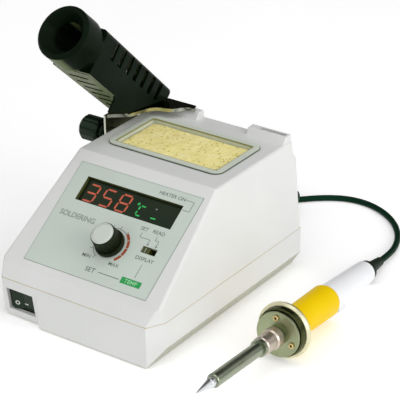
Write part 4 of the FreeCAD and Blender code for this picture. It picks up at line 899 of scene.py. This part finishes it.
def make_sponge():
    """The sponge as a swollen block with soft edges and open pores on top."""
    low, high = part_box("sponge")
    centre, half = (low + high) / 2, (high - low) / 2
    shape = bmesh.new()
    bmesh.ops.create_cube(shape, size=2)
    shape_mesh = bpy.data.meshes.new("sponge_pad")
    bmesh.ops.subdivide_edges(shape, edges=shape.edges, cuts=44, use_grid_fill=True)
    soft_y = 0.12
    soft_x = soft_y * half.y / half.x
    for vertex in shape.verts:
        x, y, z = vertex.co
        place = Vector((x * half.x, y * half.y, z * half.z))
        edge_x = max(0, abs(x) - (1 - soft_x)) / soft_x
        edge_y = max(0, abs(y) - (1 - soft_y)) / soft_y
        drop = 0.9 * MM * (edge_x ** 2 + edge_y ** 2)
        if z > 0:
            crown = (1 - x * x) * (1 - y * y)
            ripple = noise.noise(place * 120) * 0.35 + noise.noise(place * 420) * 0.3
            place.z += (-0.9 + 0.5 * crown) * MM - drop + ripple * MM * 0.9
        pull = 0.5 * MM * (1 - abs(z)) + 0.3 * MM * abs(noise.noise(place * 260))
        place.x -= math.copysign(pull, x) if abs(x) > 0.98 else 0
        place.y -= math.copysign(pull, y) if abs(y) > 0.98 else 0
        vertex.co = centre + place
    bmesh.ops.recalc_face_normals(shape, faces=shape.faces)
    for face in shape.faces:
        face.smooth = True
    shape.to_mesh(shape_mesh)
    shape.free()
    pad = add_object("sponge_pad", shape_mesh)
    finish_piece(pad, "sponge", SPONGE)
    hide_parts("sponge")


make_sponge()


# ---------------------------------------------------------------- floor and light

SKY_STOPS = ((0.0, 0.3), (0.16, 0.2), (0.34, 0.95), (0.6, 1.0), (1.0, 0.85))
SCREEN_WAY = (-0.53, 0.72, 0.45)
SKY_STRENGTH = 1.0


def make_world():
    """A bright surround with a dark area, so that gloss has something dark to reflect.

    The area lies behind the object as the photograph sees it.
    """
    world = bpy.data.worlds.new("surround")
    world.use_nodes = True
    nodes, links = world.node_tree.nodes, world.node_tree.links
    toward = nodes.new("ShaderNodeTexCoord").outputs["Generated"]
    split = nodes.new("ShaderNodeSeparateXYZ")
    links.new(toward, split.inputs["Vector"])
    sky = nodes.new("ShaderNodeValToRGB")
    elements = sky.color_ramp.elements
    while len(elements) < len(SKY_STOPS):
        elements.new(0.5)
    for element, (at, level) in zip(elements, SKY_STOPS):
        element.position = at
        element.color = (level, level, level, 1)
    links.new(split.outputs["Z"], sky.inputs["Fac"])
    screen = nodes.new("ShaderNodeVectorMath")
    screen.operation = "DOT_PRODUCT"
    screen.inputs[1].default_value = SCREEN_WAY
    links.new(toward, screen.inputs[0])
    shade = nodes.new("ShaderNodeMapRange")
    shade.interpolation_type = "SMOOTHSTEP"
    for name, number in (("From Min", 0.45), ("From Max", 0.8), ("To Min", 1), ("To Max", 0.04)):
        shade.inputs[name].default_value = number
    links.new(screen.outputs["Value"], shade.inputs["Value"])
    level = nodes.new("ShaderNodeMath")
    level.operation = "MULTIPLY"
    links.new(sky.outputs["Color"], level.inputs[0])
    links.new(shade.outputs["Result"], level.inputs[1])
    background = nodes["Background"]
    links.new(level.outputs["Value"], background.inputs["Color"])
    background.inputs["Strength"].default_value = SKY_STRENGTH
    bpy.context.scene.world = world


def make_stage():
    """A plain pale floor, soft lights and a bright surround."""
    mesh = bpy.data.meshes.new("floor")
    reach = 6.0
    mesh.from_pydata([(-reach, -reach, FLOOR), (reach, -reach, FLOOR), (reach, reach, FLOOR),
                      (-reach, reach, FLOOR)], [], [(0, 1, 2, 3)])
    floor = add_object("floor", mesh)
    paint = Paint("floor_paper", 0.9, specular=0.2)
    paint.colour(paint.ramp(paint.noise(6, 2), (0.3, (0.93, 0.93, 0.93)),
                            (0.7, (0.96, 0.96, 0.96))))
    paint.shader.inputs["Emission Color"].default_value = (1, 1, 1, 1)
    paint.shader.inputs["Emission Strength"].default_value = 0.24
    mesh.materials.append(paint.material)
    make_world()
    lamps = (("key", (1100, 0, 420), 0.7, 4.5), ("fill", (-600, -1000, 500), 1.0, 0.5),
             ("top", (100, 100, 1300), 0.8, 2.4))
    for name, place, width, power in lamps:
        data = bpy.data.lights.new(name, "AREA")
        data.shape = "DISK"
        data.size = width
        data.energy = power
        lamp = bpy.data.objects.new(name, data)
        bpy.context.scene.collection.objects.link(lamp)
        lamp.location = spot(*place)
        aim = spot(0, 80, 40) - lamp.location
        lamp.rotation_euler = aim.to_track_quat("-Z", "Y").to_euler()
    view = bpy.context.scene.view_settings
    view.view_transform = "Standard"
    view.look = "None"


make_stage()
